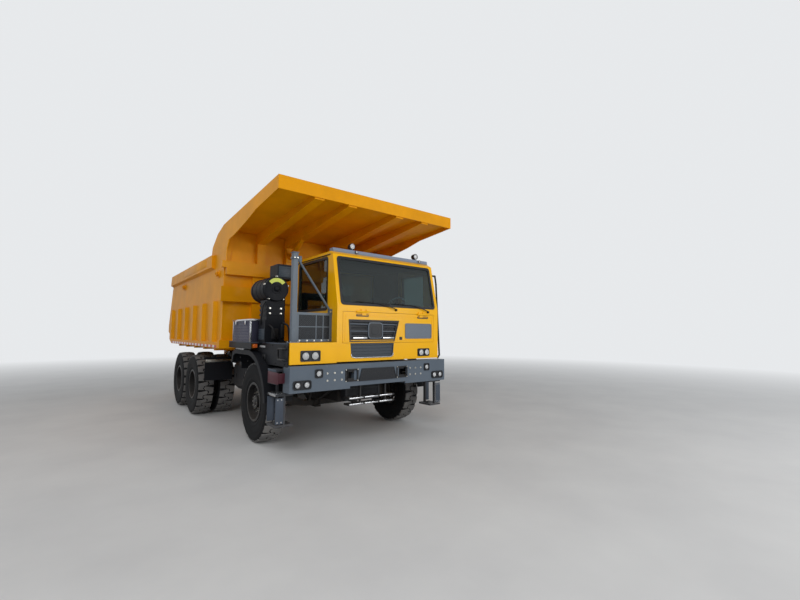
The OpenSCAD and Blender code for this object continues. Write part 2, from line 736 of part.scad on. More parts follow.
// Door with its window and hinge knuckles
module cab_door() color([0.98, 0.68, 0.08]) {
    x0 = cab_left - cab_t;
    difference() {
        block([x0, door_y, door_z], [cab_left, door_y + door_len, door_z + door_h]);
        block([x0 - 1, door_y + 90, screen_z - 60], [cab_left + 1, door_y + door_len - 90, door_z + door_h - 20]);
    }
    for (z = hinge_zs) difference() {
        union() {
            translate([door_hinge[0], door_hinge[1], z]) cylinder(r = 11, h = 60);
            block([cab_left - 1, door_hinge[1], z], [door_hinge[0] + 5, door_hinge[1] + 70, z + 60]);
        }
        translate([door_hinge[0], door_hinge[1], z - 1]) cylinder(r = door_pin_r + fit, h = 62);
    }
}

module door_glass() color([0.1, 0.12, 0.12])
    block([cab_left - cab_t / 2 - 4, door_y + 90 + seat_gap, screen_z - 60 + seat_gap],
        [cab_left - cab_t / 2 + 4, door_y + door_len - 90 - seat_gap, door_z + door_h - 20 - seat_gap]);

module windscreen() color([0.1, 0.12, 0.12]) screen_slab(seat_gap, 8, 12);

module cab_windows() color([0.1, 0.12, 0.12]) {
    g = seat_gap;
    block([cab_right + 20, side_window[0] + g, side_window[2] + g],
        [cab_right + 28, side_window[1] - g, side_window[3] - g]);
    block([rear_window[0] + g, cab_back - 30, rear_window[2] + g],
        [rear_window[1] - g, cab_back - 22, rear_window[3] - g]);
}

// Front flap with the opening of its grille
module front_flap() color([0.98, 0.68, 0.08]) {
    difference() {
        block([flap_x[0], cab_front, flap_z[0]], [flap_x[1], cab_front + flap_t, flap_z[1]]);
        along_y(cab_front - 1, cab_front + flap_t + 1) polygon([
            [-545, 2110], [-525, 1760], [395, 1760], [500, 2110]]);
    }
    for (x = flap_hinge_xs) difference() {
        union() {
            bar_x(x, x + 80, flap_hinge[0], flap_hinge[1], 11);
            block([x, flap_hinge[0] - 4, flap_hinge[1] - 60], [x + 80, cab_front + 1, flap_hinge[1]]);
        }
        bar_x(x - 1, x + 81, flap_hinge[0], flap_hinge[1], flap_pin_r + fit);
    }
}

// Upper grille, carried by the flap
module grille() color([0.08, 0.08, 0.08]) {
    y0 = cab_front + 4;
    difference() {
        along_y(y0, y0 + 22) polygon([
            [-544.5, 2109.5], [-524.5, 1760.5], [394.5, 1760.5], [499.5, 2109.5]]);
        along_y(y0 - 1, y0 + 23) polygon([
            [-515, 2085], [-497, 1785], [368, 1785], [468, 2085]]);
    }
    for (i = [0:4]) block([-505, y0 + 2, 1830 + i * 55], [372 + i * 17, y0 + 20, 1848 + i * 55]);
    for (x = [-200, 20, 240]) block([x, y0 + 6, 1784], [x + 14, y0 + 18, 2086]);
    block([-140, y0, 1860], [100, y0 + 20, 2086]);
}

// Dashboard with the steering column and wheel
module dashboard() color([0.35, 0.35, 0.36]) {
    y0 = cab_front + cab_t + seat_gap;
    wheel = [920, cab_front + 620, cab_z + 1010];
    along_x(cab_right + cab_t + seat_gap, cab_left - cab_t - seat_gap) polygon([
        [y0, cab_z + 700], [y0, screen_z - 10], [y0 + 60, screen_z + 15],
        [y0 + 360, screen_z - 40], [y0 + 400, cab_z + 700]]);
    rod_between([wheel[0], y0 + 300, screen_z - 120], wheel, 28);
    translate(wheel) rotate([-55, 0, 0]) {
        rotate_extrude() translate([215, 0]) circle(r = 16, $fn = 24);
        for (a = [0, 120, 240]) rotate([0, 0, a + 90]) block([0, -14, -8], [215, 14, 8]);
        translate([0, 0, -15]) cylinder(r = 50, h = 30);
    }
}

module seats() color([0.12, 0.12, 0.13]) for (x = [120, 920]) translate([x, cab_front + 900, cab_z + cab_t]) {
    block([-150, -120, seat_gap], [150, 160, 300]);
    block([-250, -220, 299], [250, 260, 420]);
    translate([0, 240, 380]) rotate([-10, 0, 0]) {
        block([-240, -50, 0], [240, 50, 620]);
        block([-130, -40, 640], [130, 40, 800]);
        for (s = [-70, 60]) block([s, -8, 600], [s + 10, 8, 660]);
    }
}

// Bar on the roof's front edge with its lamps
module light_bar() color([0.35, 0.38, 0.42]) {
    z0 = cab_top + seat_gap;
    y0 = cab_front + screen_lean + 105;
    along_x(cab_right + 60, cab_left - 20) polygon([
        [y0, z0], [y0 - 10, z0 + 20], [y0, z0 + 70], [y0 + 110, z0 + 70], [y0 + 120, z0]]);
    for (x = [-320, 1180]) {
        bar_y(y0 + 10, y0 + 70, x, z0 + 140, 52);
        block([x - 12, y0 + 30, z0 + 69], [x + 12, y0 + 60, z0 + 100]);
        bar_y(y0 - 30, y0 + 30, x + 70, z0 + 40, 24);
    }
}

// Head lamps, bumper lamps and tail lamps
module lamps() color([0.8, 0.8, 0.78]) {
    for (x = [-1335, -1175]) bar_y(-1428, -1399.7, x, 1535, 61.7);
    for (x = [1045, 1190]) bar_y(-1422, cab_front - seat_gap, x, 1535, 58);
    both_sides() {
        for (p = bumper_lamps) bar_y(-nose + 2, -nose + bumper_t + 20, p[0], p[1], lamp_r - seat_gap);
        block([380, rail_back - 200, rail_z - 130], [460, rail_back - 20, rail_z - seat_gap]);
        block([470, rail_back - 60, rail_z - 130], [760, rail_back - 20, rail_z - 20]);
        block([459, rail_back - 60, rail_z - 130], [471, rail_back - 20, rail_z - 20]);
    }
}

// Puts a cylinder drawn along Y on the hoist's line, with its foot on the shaft
module on_hoist_line() translate([0, base_y, base_z]) rotate([hoist_tilt, 0, 0]) children();

module hoist_barrels() color([0.15, 0.15, 0.16]) both_sides() on_hoist_line() {
    difference() {
        union() {
            bar_x(hoist_x - hoist_eye_w / 2, hoist_x + hoist_eye_w / 2, 0, 0, 80);
            bar_y(60, barrel_len, hoist_x, 0, barrel_d / 2);
        }
        bar_x(hoist_x - 120, hoist_x + 120, 0, 0, pin_r + fit);
        bar_y(110, barrel_len + 1, hoist_x, 0, rod_d / 2 + fit);
    }
}

module hoist_rods() color([0.75, 0.76, 0.78]) both_sides() on_hoist_line() {
    bar_y(120, hoist_len - 40, hoist_x, 0, rod_d / 2);
    bar_x(hoist_x - hoist_eye_w / 2, hoist_x + hoist_eye_w / 2, hoist_len, 0, 62);
}

// Floor of the bed with its sills, cross ribs, hinge ears and hoist brackets
module bed_floor() color([0.95, 0.55, 0.05]) {
    skin = in_x;
    bend_y = tail_y - 950;
    rise = 330;
    along_x(-skin, skin) polygon([
        [front_skin, floor_z], [bend_y, floor_z], [tail_y, floor_z + rise],
        [tail_y - 10, floor_z + rise + plate_t], [bend_y - 5, floor_z + plate_t],
        [front_skin, floor_z + plate_t]]);
    both_sides() {
        x0 = rail_mid_x - sill_w / 2;
        difference() {
            union() {
                along_x(x0, x0 + sill_w) polygon([
                    [front_skin, rail_top + 60], [front_skin + 200, rail_top + seat_gap],
                    [bend_y - 50, rail_top + seat_gap], [tail_y - 200, floor_z + rise - 70],
                    [bend_y, floor_z + 1], [front_skin, floor_z + 1]]);
                for (x = [x0, x0 + sill_w - 24]) {
                    bar_x(x, x + 24, hinge_y, hinge_z, ear_r - 2);
                    block([x, hinge_y - ear_r + 2, hinge_z], [x + 24, hinge_y + ear_r - 2, rail_top + 2]);
                }
            }
            bar_x(x0 - 1, x0 + sill_w + 1, hinge_y, hinge_z, pin_r + fit);
        }
        for (i = [0:4])
            block([x0 + sill_w - 1, rib_first + i * rib_pitch - 60, floor_z - rib_drop],
                [skin, rib_first + i * rib_pitch + 60, floor_z + 1]);
        for (x = [hoist_x - hoist_eye_w / 2 - 34, hoist_x + hoist_eye_w / 2 + 10])
            along_x(x, x + 24) polygon([
                [head_y - 60, head_z - 70], [head_y + 60, head_z - 70],
                [head_y + 150, floor_z + 1], [head_y - 200, floor_z + 1]]);
    }
}

// Side walls with their rails and the row of hat-shaped ribs
module bed_sides() color([0.95, 0.55, 0.05]) both_sides() difference() {
    union() {
        along_y(front_skin, tail_y) polygon([
            [in_x, floor_z - 40], [in_x, bed_top], [skin_x, bed_top], [skin_x, floor_z + 90],
            [bed_x, floor_z + 80], [bed_x, floor_z - 40]]);
        along_y(rail_start, tail_y) polygon([
            [skin_x - 1, bed_top], [bed_x, bed_top], [bed_x, top_rail], [skin_x - 1, top_rail - 40]]);
        for (i = [0:5]) translate([0, rib_first + i * rib_pitch, floor_z + 60])
            linear_extrude(rib_top - floor_z - 60) polygon([
                [skin_x - 1, -170], [bed_x, -100], [bed_x, 100], [skin_x - 1, 170]]);
    }
    along_x(in_x - 1, bed_x + 1) polygon([
        [tail_y - 950, floor_z - 41], [tail_y, floor_z + 290], [tail_y, floor_z + 500],
        [tail_y - 560, bed_top + 1], [tail_y + 1, bed_top + 1], [tail_y + 1, floor_z - 41]]);
}

// Flanged lifting stubs on the bed's sides
module lift_eyes() color([0.95, 0.55, 0.05]) both_sides() for (y = eye_ys) difference() {
    union() {
        bar_x(skin_x, skin_x + 15, y, eye_z, 85);
        bar_x(skin_x + 14, bed_x - 14, y, eye_z, 52);
        bar_x(bed_x - 15, bed_x, y, eye_z, 70);
    }
    bar_x(skin_x - 1, bed_x + 1, y, eye_z, eye_r);
}

// Front wall with its bands, stiffeners and corner gussets
module bed_front() color([0.95, 0.55, 0.05]) {
    back = front_skin + plate_t;
    block([-in_x, front_skin, floor_z + plate_t], [in_x, back, tray_top(back) - tray_t - seat_gap]);
    block([-bed_x, bed_front_y, floor_z - 40], [bed_x, front_skin, floor_z + 120]);
    block([-bed_x, bed_front_y, bands[0][0]], [bed_x, front_skin, bands[0][1]]);
    block([-in_x, bed_front_y, bands[1][0]], [in_x, front_skin, bands[1][1]]);
    block([-bed_x, bed_front_y, bands[1][0] + 140], [bed_x, front_skin, bands[1][1]]);
    for (x = front_ribs) {
        block([x - 150, front_skin - 70, floor_z + 119], [x + 150, front_skin + 1, bands[1][0] + 1]);
        block([x - 85, bed_front_y, bands[1][1] - 1], [x + 85, front_skin + 1, rib_foot - seat_gap]);
    }
    both_sides() along_y(front_skin - 70, front_skin + 1) polygon([
        [in_x - 56, bands[1][1] - 1], [in_x - seat_gap, bands[1][1] - 1],
        [in_x - seat_gap, bed_top + 400], [in_x - 130, bed_top + 400]]);
}

// Thickness of the canopy's plate
tray_t = 14;

// Height of the canopy's side boards at a place along Y, and of the plate between them
function canopy_z(y) = lip_top - slope * (y + canopy_reach);
function tray_top(y) = canopy_z(y) - tray_depth;

// Roof over the cab: plate, side boards and front edge
module canopy() color([0.95, 0.55, 0.05]) {
    back = front_skin + plate_t;
    top = bed_top + seat_gap;
    lip_y = -canopy_reach + 24;
    along_x(-in_x - 1, in_x + 1) polygon([
        [-canopy_reach, lip_top], [-canopy_reach + 100, lip_top - 7],
        [-canopy_reach + 100, lip_top - 21], [lip_y, lip_top - 16], [lip_y, tray_top(lip_y)],
        [back, tray_top(back)], [back, tray_top(back) - tray_t], [lip_y, tray_top(lip_y) - tray_t],
        [lip_y, lip_top - lip_h], [-canopy_reach, lip_top - lip_h]]);
    both_sides() along_x(in_x, skin_x) polygon([
        [-canopy_reach, lip_top], [knee_y, canopy_z(knee_y)], [knee_y + 430, bed_top + 445],
        [knee_y + 815, bed_top + 205], [knee_y + 870, top], [front_skin, top],
        [front_skin, bands[1][1] + seat_gap], [bed_front_y, bands[1][1] + seat_gap],
        [bed_front_y, bed_top + 11], [bed_front_y - 143, bed_top + 187],
        [bed_front_y - 520, bed_top + 225], [bed_front_y - 1219, bed_top + 342],
        [bed_front_y - 1625, bed_top + 434], [-canopy_reach + 20, lip_top - lip_h],
        [-canopy_reach, lip_top - lip_h]]);
}

// Wide tapered channels under the canopy
module canopy_ribs() color([0.95, 0.55, 0.05]) for (x = front_ribs) {
    y0 = -canopy_reach + 24 + seat_gap;
    y1 = front_skin - seat_gap;
    up = tray_t + seat_gap;
    low = lip_top - lip_h - 27;
    difference() {
        along_x(x - 85, x + 85) polygon([
            [y0, tray_top(y0) - up], [y1, tray_top(y1) - up], [y1, rib_foot],
            [bed_front_y, rib_foot], [y0, low]]);
        along_x(x - 73, x + 73) polygon([
            [y0 + 12, tray_top(y0) + 9], [y1 - 12, tray_top(y1) + 9], [y1 - 12, rib_foot + 12],
            [bed_front_y + 1, rib_foot + 12], [y0 + 12, low + 12]]);
    }
}

// The whole truck, shifted so that its middle is at 0
translate([0, y_shift, 0]) {
    frame();
    outriggers();
    bumper();
    front_step();
    tow_brackets();
    front_axle();
    front_springs();
    knuckle_left();
    knuckle_right();
    tie_rod();
    front_tyre_left();
    front_tyre_right();
    front_wheel_left();
    front_wheel_right();
    rear_axles();
    rear_springs();
    tyres_1_left();
    tyres_1_right();
    tyres_2_left();
    tyres_2_right();
    wheels_1_left();
    wheels_1_right();
    wheels_2_left();
    wheels_2_right();
    engine();
    radiator();
    driveline();
    side_tanks();
    deck();
    corner_panel();
    guard_post();
    air_cleaner();
    battery_box();
    mudguards();
    steps();
    grab_rail();
    cab_shell();
    cab_roof();
    cab_door();
    door_glass();
    windscreen();
    cab_windows();
    front_flap();
    grille();
    dashboard();
    seats();
    light_bar();
    lamps();
    hoist_barrels();
    hoist_rods();
    bed_floor();
    bed_sides();
    lift_eyes();
    bed_front();
    canopy();
    canopy_ribs();
}
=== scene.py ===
"""Six-wheel mining dump truck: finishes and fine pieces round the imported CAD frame."""

import logging
import math
from dataclasses import dataclass, field
from enum import Enum
from typing import Callable, Iterable, Optional, Sequence

import bmesh
import bpy
from mathutils import Matrix, Vector


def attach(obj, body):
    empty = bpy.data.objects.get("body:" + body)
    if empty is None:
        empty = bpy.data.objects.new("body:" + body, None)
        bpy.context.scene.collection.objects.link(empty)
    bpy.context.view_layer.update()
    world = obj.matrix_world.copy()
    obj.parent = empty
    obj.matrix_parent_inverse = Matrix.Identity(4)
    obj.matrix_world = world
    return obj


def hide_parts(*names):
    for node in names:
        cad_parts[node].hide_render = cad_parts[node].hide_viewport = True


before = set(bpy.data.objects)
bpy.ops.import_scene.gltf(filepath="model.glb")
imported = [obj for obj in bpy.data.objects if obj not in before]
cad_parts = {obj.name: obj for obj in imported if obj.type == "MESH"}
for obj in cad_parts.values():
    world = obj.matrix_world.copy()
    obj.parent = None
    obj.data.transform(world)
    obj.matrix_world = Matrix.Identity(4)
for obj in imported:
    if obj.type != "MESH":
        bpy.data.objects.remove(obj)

LOG = logging.getLogger("truck")
Point = tuple[float, float, float]
Colour = tuple[float, float, float]
Span = tuple[float, float]

# The CAD source tells places along Y from the front axle and shifts the whole truck by this.
Y_SHIFT = -2.788
TYRE_R = 0.685
TYRE_HALF = 0.1825
RIM_R = 0.320
AXLE_Z = TYRE_R
FRONT_X = 1.46
REAR_X = 1.515
TWIN_HALF = 0.23
REAR_YS = (3.35, 4.85)
HINGE = (-1.412, 2.253)


class Side(Enum):
    """Side of the truck, with the sign of its X."""

    LEFT = 1
    RIGHT = -1

    @property
    def word(self) -> str:
        """The side's name as the CAD nodes spell it."""
        return self.name.lower()


class Along(Enum):
    """Directions in the row frame."""

    X = (1.0, 0.0, 0.0)
    Y = (0.0, 1.0, 0.0)
    Z = (0.0, 0.0, 1.0)


def at(x: float, y: float, z: float) -> Vector:
    """Place on the truck in the row frame.

    Args:
        x: metres to the truck's left.
        y: metres behind the front axle.
        z: metres above the ground.

    Returns:
        The point in the row frame.
    """
    return Vector((x, y + Y_SHIFT, z))


def srgb(red: int, green: int, blue: int) -> Colour:
    """Linear colour of an 8-bit one.

    Args:
        red: red, 0 to 255.
        green: green, 0 to 255.
        blue: blue, 0 to 255.

    Returns:
        The linear red, green and blue.
    """

    def linear(v: int) -> float:
        """One channel made linear."""
        c = v / 255
        return c / 12.92 if c <= 0.04045 else ((c + 0.055) / 1.055) ** 2.4

    return linear(red), linear(green), linear(blue)


# ---------------------------------------------------------------- shader tools


class Tree:
    """Adds nodes to one shader tree and links them."""

    def __init__(self, tree: bpy.types.NodeTree) -> None:
        """Starts on an empty tree.

        Args:
            tree: the node tree to fill.
        """
        self.tree = tree
        self.tree.nodes.clear()

    def add(self, kind: str, values: Optional[dict] = None, **settings: object) -> bpy.types.Node:
        """Adds a node.

        Args:
            kind: the node's type name, after ShaderNode.
            values: socket name or number to a value or an output socket to link.
            settings: attributes of the node.

        Returns:
            The new node.
        """
        node = self.tree.nodes.new(kind if kind.startswith("Node") else "ShaderNode" + kind)
        for key, value in settings.items():
            setattr(node, key, value)
        for key, value in (values or {}).items():
            socket = node.inputs[key]
            if isinstance(value, bpy.types.NodeSocket):
                self.tree.links.new(value, socket)
            elif socket.type == "RGBA" and len(value) == 3:
                socket.default_value = (*value, 1.0)
            else:
                socket.default_value = value
        return node

    def math(self, operation: str, a: object, b: object = 0.0, clamp: bool = False) -> bpy.types.NodeSocket:
        """Adds a Math node.

        Args:
            operation: the node's operation.
            a: first value or socket.
            b: second value or socket.
            clamp: whether the result is kept from 0 to 1.

        Returns:
            The node's output.
        """
        return self.add("Math", {0: a, 1: b}, operation=operation, use_clamp=clamp).outputs[0]

    def mix(self, factor: object, a: object, b: object) -> bpy.types.NodeSocket:
        """Adds a colour Mix node.

        Args:
            factor: share of b.
            a: first colour or socket.
            b: second colour or socket.

        Returns:
            The mixed colour.
        """
        node = self.add("Mix", {0: factor}, data_type="RGBA")
        for index, value in ((6, a), (7, b)):
            if isinstance(value, bpy.types.NodeSocket):
                self.tree.links.new(value, node.inputs[index])
            else:
                node.inputs[index].default_value = (*value, 1.0)
        return node.outputs[2]

    def span(self, value: object, low: float, high: float, to_low: float = 0.0, to_high: float = 1.0) -> bpy.types.NodeSocket:
        """Adds a clamped Map Range node.

        Args:
            value: the value or socket to map.
            low: value that gives to_low.
            high: value that gives to_high.
            to_low: result at low.
            to_high: result at high.

        Returns:
            The mapped value.
        """
        return self.add("MapRange", {0: value, 1: low, 2: high, 3: to_low, 4: to_high}).outputs[0]

    def noise(self, vector: bpy.types.NodeSocket, scale: object, detail: float = 3.0, rough: float = 0.55) -> bpy.types.NodeSocket:
        """Adds a Noise Texture.

        Args:
            vector: where it is read.
            scale: waves a metre.
            detail: octaves.
            rough: how strong the finer octaves are.

        Returns:
            The noise, about 0.5 in the middle.
        """
        values = {"Vector": vector, "Scale": scale, "Detail": detail, "Roughness": rough}
        return self.add("TexNoise", values).outputs[0]


def new_group(name: str, inputs: dict[str, float], outputs: Sequence[str]) -> tuple[Tree, dict, bpy.types.Node]:
    """Makes an empty shader node group with float sockets.

    Args:
        name: the group's name.
        inputs: each input's name and usual value.
        outputs: the outputs' names.

    Returns:
        The tree, its input sockets by name, and the output node.
    """
    tree = bpy.data.node_groups.new(name, "ShaderNodeTree")
    for key, value in inputs.items():
        socket = tree.interface.new_socket(key, in_out="INPUT", socket_type="NodeSocketFloat")
        socket.default_value = value
    for key in outputs:
        tree.interface.new_socket(key, in_out="OUTPUT", socket_type="NodeSocketFloat")
    tool = Tree(tree)
    source = tool.add("NodeGroupInput")
    end = tool.add("NodeGroupOutput")
    return tool, {key: source.outputs[key] for key in inputs}, end


class Effects:
    """The shader node groups that several finishes share."""

    _made: dict[str, bpy.types.NodeTree] = {}

    @classmethod
    def get(cls, name: str) -> bpy.types.NodeTree:
        """The group of a name, built once."""
        if name not in cls._made:
            cls._made[name] = getattr(cls, "_" + name)()
        return cls._made[name]

    @staticmethod
    def _weather() -> bpy.types.NodeTree:
        """Road dust and settled dirt.

        Returns:
            A group that gives the share of dust and a slow patchy value.
        """
        inputs = {"Top": 1.2, "Amount": 0.5, "Scale": 2.0}
        tool, given, end = new_group("weather", inputs, ("Dust", "Patch"))
        where = tool.add("TexCoord").outputs["Object"]
        height = tool.add("SeparateXYZ", {0: where}).outputs[2]
        patch = tool.noise(where, given["Scale"], 5.0, 0.6)
        fine = tool.noise(where, 34.0, 4.0, 0.7)
        share = tool.math("SUBTRACT", 1.0, tool.math("DIVIDE", height, given["Top"]), clamp=True)
        facing = tool.add("SeparateXYZ", {0: tool.add("NewGeometry").outputs["Normal"]}).outputs[2]
        settled = tool.span(facing, 0.55, 0.95, 0.0, 0.5)
        thrown = tool.math("MULTIPLY", share, tool.span(patch, 0.32, 0.68, 0.35, 1.0))
        dust = tool.math("ADD", thrown, tool.math("MULTIPLY", settled, tool.span(fine, 0.3, 0.7, 0.5, 1.0)))
        dust = tool.math("MULTIPLY", dust, given["Amount"], clamp=True)
        tool.tree.links.new(dust, end.inputs["Dust"])
        tool.tree.links.new(patch, end.inputs["Patch"])
        return tool.tree

    @staticmethod
    def _grain() -> bpy.types.NodeTree:
        """Fine grain of sprayed paint, moulded plastic or rubber.

        Returns:
            A group that gives a height and a fine value.
        """
        tool, given, end = new_group("grain", {"Scale": 400.0, "Wave": 0.5}, ("Height", "Fine"))
        where = tool.add("TexCoord").outputs["Object"]
        fine = tool.noise(where, given["Scale"], 2.0, 0.5)
        broad = tool.noise(where, 1.7, 1.0, 0.4)
        height = tool.math("ADD", fine, tool.math("MULTIPLY", broad, given["Wave"]))
        tool.tree.links.new(height, end.inputs["Height"])
        tool.tree.links.new(fine, end.inputs["Fine"])
        return tool.tree

    @staticmethod
    def _scuffs() -> bpy.types.NodeTree:
        """Thin scratches and rubbed places.

        Returns:
            A group that gives the share of scuffed surface.
        """
        tool, given, end = new_group("scuffs", {"Amount": 0.3, "Scale": 6.0}, ("Mask",))
        where = tool.add("TexCoord").outputs["Object"]
        total = None
        for turn, squeeze in ((0.3, 60.0), (1.9, 45.0)):
            turned = tool.add("Mapping", {"Vector": where, "Rotation": (turn, turn * 0.7, turn * 1.3),
                                          "Scale": (1.0, squeeze, 1.0)}).outputs[0]
            line = tool.span(tool.noise(turned, given["Scale"], 2.0, 0.6), 0.66, 0.74)
            total = line if total is None else tool.math("MAXIMUM", total, line)
        rubbed = tool.span(tool.noise(where, 9.0, 4.0, 0.7), 0.55, 0.75)
        mask = tool.math("MULTIPLY", tool.math("MULTIPLY", total, rubbed), given["Amount"], clamp=True)
        tool.tree.links.new(mask, end.inputs["Mask"])
        return tool.tree


@dataclass(frozen=True)
class Finish:
    """A finish of the truck. Its material is made once, when a piece first takes it."""

    name: str
    colour: Colour
    rough: float = 0.45
    gloss: float = 0.3

    def material(self) -> bpy.types.Material:
        """The finish's material, built on first use."""
        found = bpy.data.materials.get(f"{self.name}_finish")
        if found is None:
            found = bpy.data.materials.new(f"{self.name}_finish")
            found.use_nodes = True
            found.diffuse_color = (*self.colour, 1.0)
            tool = Tree(found.node_tree)
            shader = tool.add("BsdfPrincipled", {"Base Color": self.colour, "Roughness": self.rough,
                                                 "Specular IOR Level": self.gloss})
            end = tool.add("OutputMaterial", {"Surface": shader.outputs[0]})
            self.dress(tool, shader, end)
        return found

    def dress(self, tool: Tree, shader: bpy.types.Node, end: bpy.types.Node) -> None:
        """Adds the finish's own nodes.

        Args:
            tool: the material's tree.
            shader: its Principled BSDF.
            end: its output node.
        """


def group_node(tool: Tree, name: str, values: dict) -> bpy.types.Node:
    """Places a shared effect in a material.

    Args:
        tool: the material's tree.
        name: the effect's name.
        values: its inputs.

    Returns:
        The group node.
    """
    return tool.add("Group", values, node_tree=Effects.get(name))


def bumped(tool: Tree, shader: bpy.types.Node, height: bpy.types.NodeSocket, distance: float, strength: float = 1.0) -> None:
    """Gives a shader a bump.

    Args:
        tool: the material's tree.
        shader: the shader to bump.
        height: the height, from 0 to 1.
        distance: its depth in metres.
        strength: how much of it counts.
    """
    bump = tool.add("Bump", {"Height": height, "Distance": distance, "Strength": strength})
    tool.tree.links.new(bump.outputs[0], shader.inputs["Normal"])


@dataclass(frozen=True)
class Paint(Finish):
    """Sprayed paint on steel or pressed sheet, with road dust towards the ground."""

    dust: Colour = (0.24, 0.20, 0.16)
    dust_top: float = 1.3
    dust_amount: float = 0.35
    coat: float = 0.5
    wave: float = 1.0
    depth: float = 0.0006
    vary: float = 0.10
    scuffed: float = 0.0

    def dress(self, tool: Tree, shader: bpy.types.Node, end: bpy.types.Node) -> None:
        """Adds colour drift, dust, scuffs, a coat and an orange-peel bump."""
        weather = group_node(tool, "weather", {"Top": self.dust_top, "Amount": self.dust_amount})
        grain = group_node(tool, "grain", {"Scale": 260.0, "Wave": self.wave * 12.0})
        dark = tuple(c * (1 - self.vary) for c in self.colour)
        lit = tuple(min(1.0, c * (1 + self.vary)) for c in self.colour)
        base = tool.mix(tool.span(weather.outputs["Patch"], 0.3, 0.7), dark, lit)
        if self.scuffed:
            scuffs = group_node(tool, "scuffs", {"Amount": self.scuffed})
            base = tool.mix(scuffs.outputs["Mask"], base, tuple(0.35 + 0.4 * c for c in self.colour))
        base = tool.mix(weather.outputs["Dust"], base, self.dust)
        tool.tree.links.new(base, shader.inputs["Base Color"])
        rough = tool.math("ADD", tool.span(grain.outputs["Fine"], 0.3, 0.7, self.rough - 0.04, self.rough + 0.05),
                          tool.math("MULTIPLY", weather.outputs["Dust"], 0.4), clamp=True)
        tool.tree.links.new(rough, shader.inputs["Roughness"])
        shader.inputs["Coat Weight"].default_value = self.coat
        shader.inputs["Coat Roughness"].default_value = 0.12
        bumped(tool, shader, grain.outputs["Height"], self.depth, 0.25)


@dataclass(frozen=True)
class Metal(Finish):
    """Bare, plated or polished metal."""

    dust: Colour = (0.22, 0.20, 0.17)
    dust_amount: float = 0.2
    brushed: float = 0.3

    def dress(self, tool: Tree, shader: bpy.types.Node, end: bpy.types.Node) -> None:
        """Adds the metal, its scuffs and dust."""
        weather = group_node(tool, "weather", {"Top": 1.1, "Amount": self.dust_amount})
        scuffs = group_node(tool, "scuffs", {"Amount": self.brushed, "Scale": 14.0})
        base = tool.mix(tool.span(weather.outputs["Patch"], 0.3, 0.7), tuple(c * 0.88 for c in self.colour), self.colour)
        base = tool.mix(weather.outputs["Dust"], base, self.dust)
        tool.tree.links.new(base, shader.inputs["Base Color"])
        tool.tree.links.new(tool.span(weather.outputs["Dust"], 0.0, 0.8, 1.0, 0.2), shader.inputs["Metallic"])
        rough = tool.math("ADD", tool.math("MULTIPLY", scuffs.outputs["Mask"], 0.5),
                          tool.span(weather.outputs["Patch"], 0.3, 0.7, self.rough * 0.8, self.rough * 1.3), clamp=True)
        tool.tree.links.new(rough, shader.inputs["Roughness"])
        bumped(tool, shader, scuffs.outputs["Mask"], 0.0002, 0.4)


@dataclass(frozen=True)
class Rubber(Finish):
    """Black rubber or moulded plastic with a grain."""

    dust: Colour = (0.19, 0.17, 0.15)
    dust_top: float = 1.5
    dust_amount: float = 0.45
    grain: float = 320.0
    depth: float = 0.0004

    def dress(self, tool: Tree, shader: bpy.types.Node, end: bpy.types.Node) -> None:
        """Adds the grain and the dust that clings to it."""
        weather = group_node(tool, "weather", {"Top": self.dust_top, "Amount": self.dust_amount, "Scale": 3.5})
        grain = group_node(tool, "grain", {"Scale": self.grain, "Wave": 0.0})
        base = tool.mix(tool.span(grain.outputs["Fine"], 0.3, 0.7), tuple(c * 0.8 for c in self.colour),
                        tuple(c * 1.2 for c in self.colour))
        base = tool.mix(weather.outputs["Dust"], base, self.dust)
        tool.tree.links.new(base, shader.inputs["Base Color"])
        tool.tree.links.new(tool.span(weather.outputs["Dust"], 0.0, 0.7, self.rough, 0.92), shader.inputs["Roughness"])
        bumped(tool, shader, grain.outputs["Height"], self.depth, 0.5)


@dataclass(frozen=True)
class Glass(Finish):
    """Tinted pane with a film of dust at its edges."""

    clear: float = 0.9
    band: Optional[Span] = None

    def dress(self, tool: Tree, shader: bpy.types.Node, end: bpy.types.Node) -> None:
        """Makes the pane see-through and slightly soiled, with a darker band at its top if it has one."""
        weather = group_node(tool, "weather", {"Top": 4.0, "Amount": 0.12, "Scale": 5.0})
        shader.inputs["Transmission Weight"].default_value = self.clear
        shader.inputs["IOR"].default_value = 1.45
        tool.tree.links.new(tool.span(weather.outputs["Dust"], 0.0, 0.3, self.rough, self.rough + 0.12),
                            shader.inputs["Roughness"])
        base = tool.mix(weather.outputs["Dust"], self.colour, (0.35, 0.35, 0.33))
        if self.band is not None:
            height = tool.add("SeparateXYZ", {0: tool.add("TexCoord").outputs["Object"]}).outputs[2]
            base = tool.mix(tool.span(height, self.band[0], self.band[1]), base, (0.02, 0.10, 0.12))
        tool.tree.links.new(base, shader.inputs["Base Color"])


CAB_YELLOW = Paint("cab_yellow", srgb(248, 184, 4), 0.32, 0.18, coat=0.12, wave=0.4, dust_top=1.6, dust_amount=0.06, vary=0.04)
BED_ORANGE = Paint("bed_orange", srgb(230, 155, 3), 0.46, 0.12, coat=0.05, wave=1.6, dust_top=1.9, dust_amount=0.07, vary=0.09,
                   depth=0.0012)
CHASSIS_BLACK = Paint("chassis_black", srgb(24, 26, 31), 0.5, 0.18, coat=0.05, wave=0.6, dust_top=1.5, dust_amount=0.14, vary=0.2)
AXLE_IRON = Paint("axle_iron", srgb(24, 25, 27), 0.6, coat=0.0, wave=0.2, dust_top=1.3, dust_amount=0.35, vary=0.3, depth=0.002)
BUMPER_GREY = Paint("bumper_grey", srgb(90, 101, 113), 0.42, 0.2, coat=0.1, wave=0.5, dust_top=1.4, dust_amount=0.10, vary=0.06,
                    scuffed=0.25)
POST_GREY = Paint("post_grey", srgb(88, 99, 110), 0.45, coat=0.15, wave=0.3, dust_top=1.4, dust_amount=0.08, vary=0.06, scuffed=0.2)
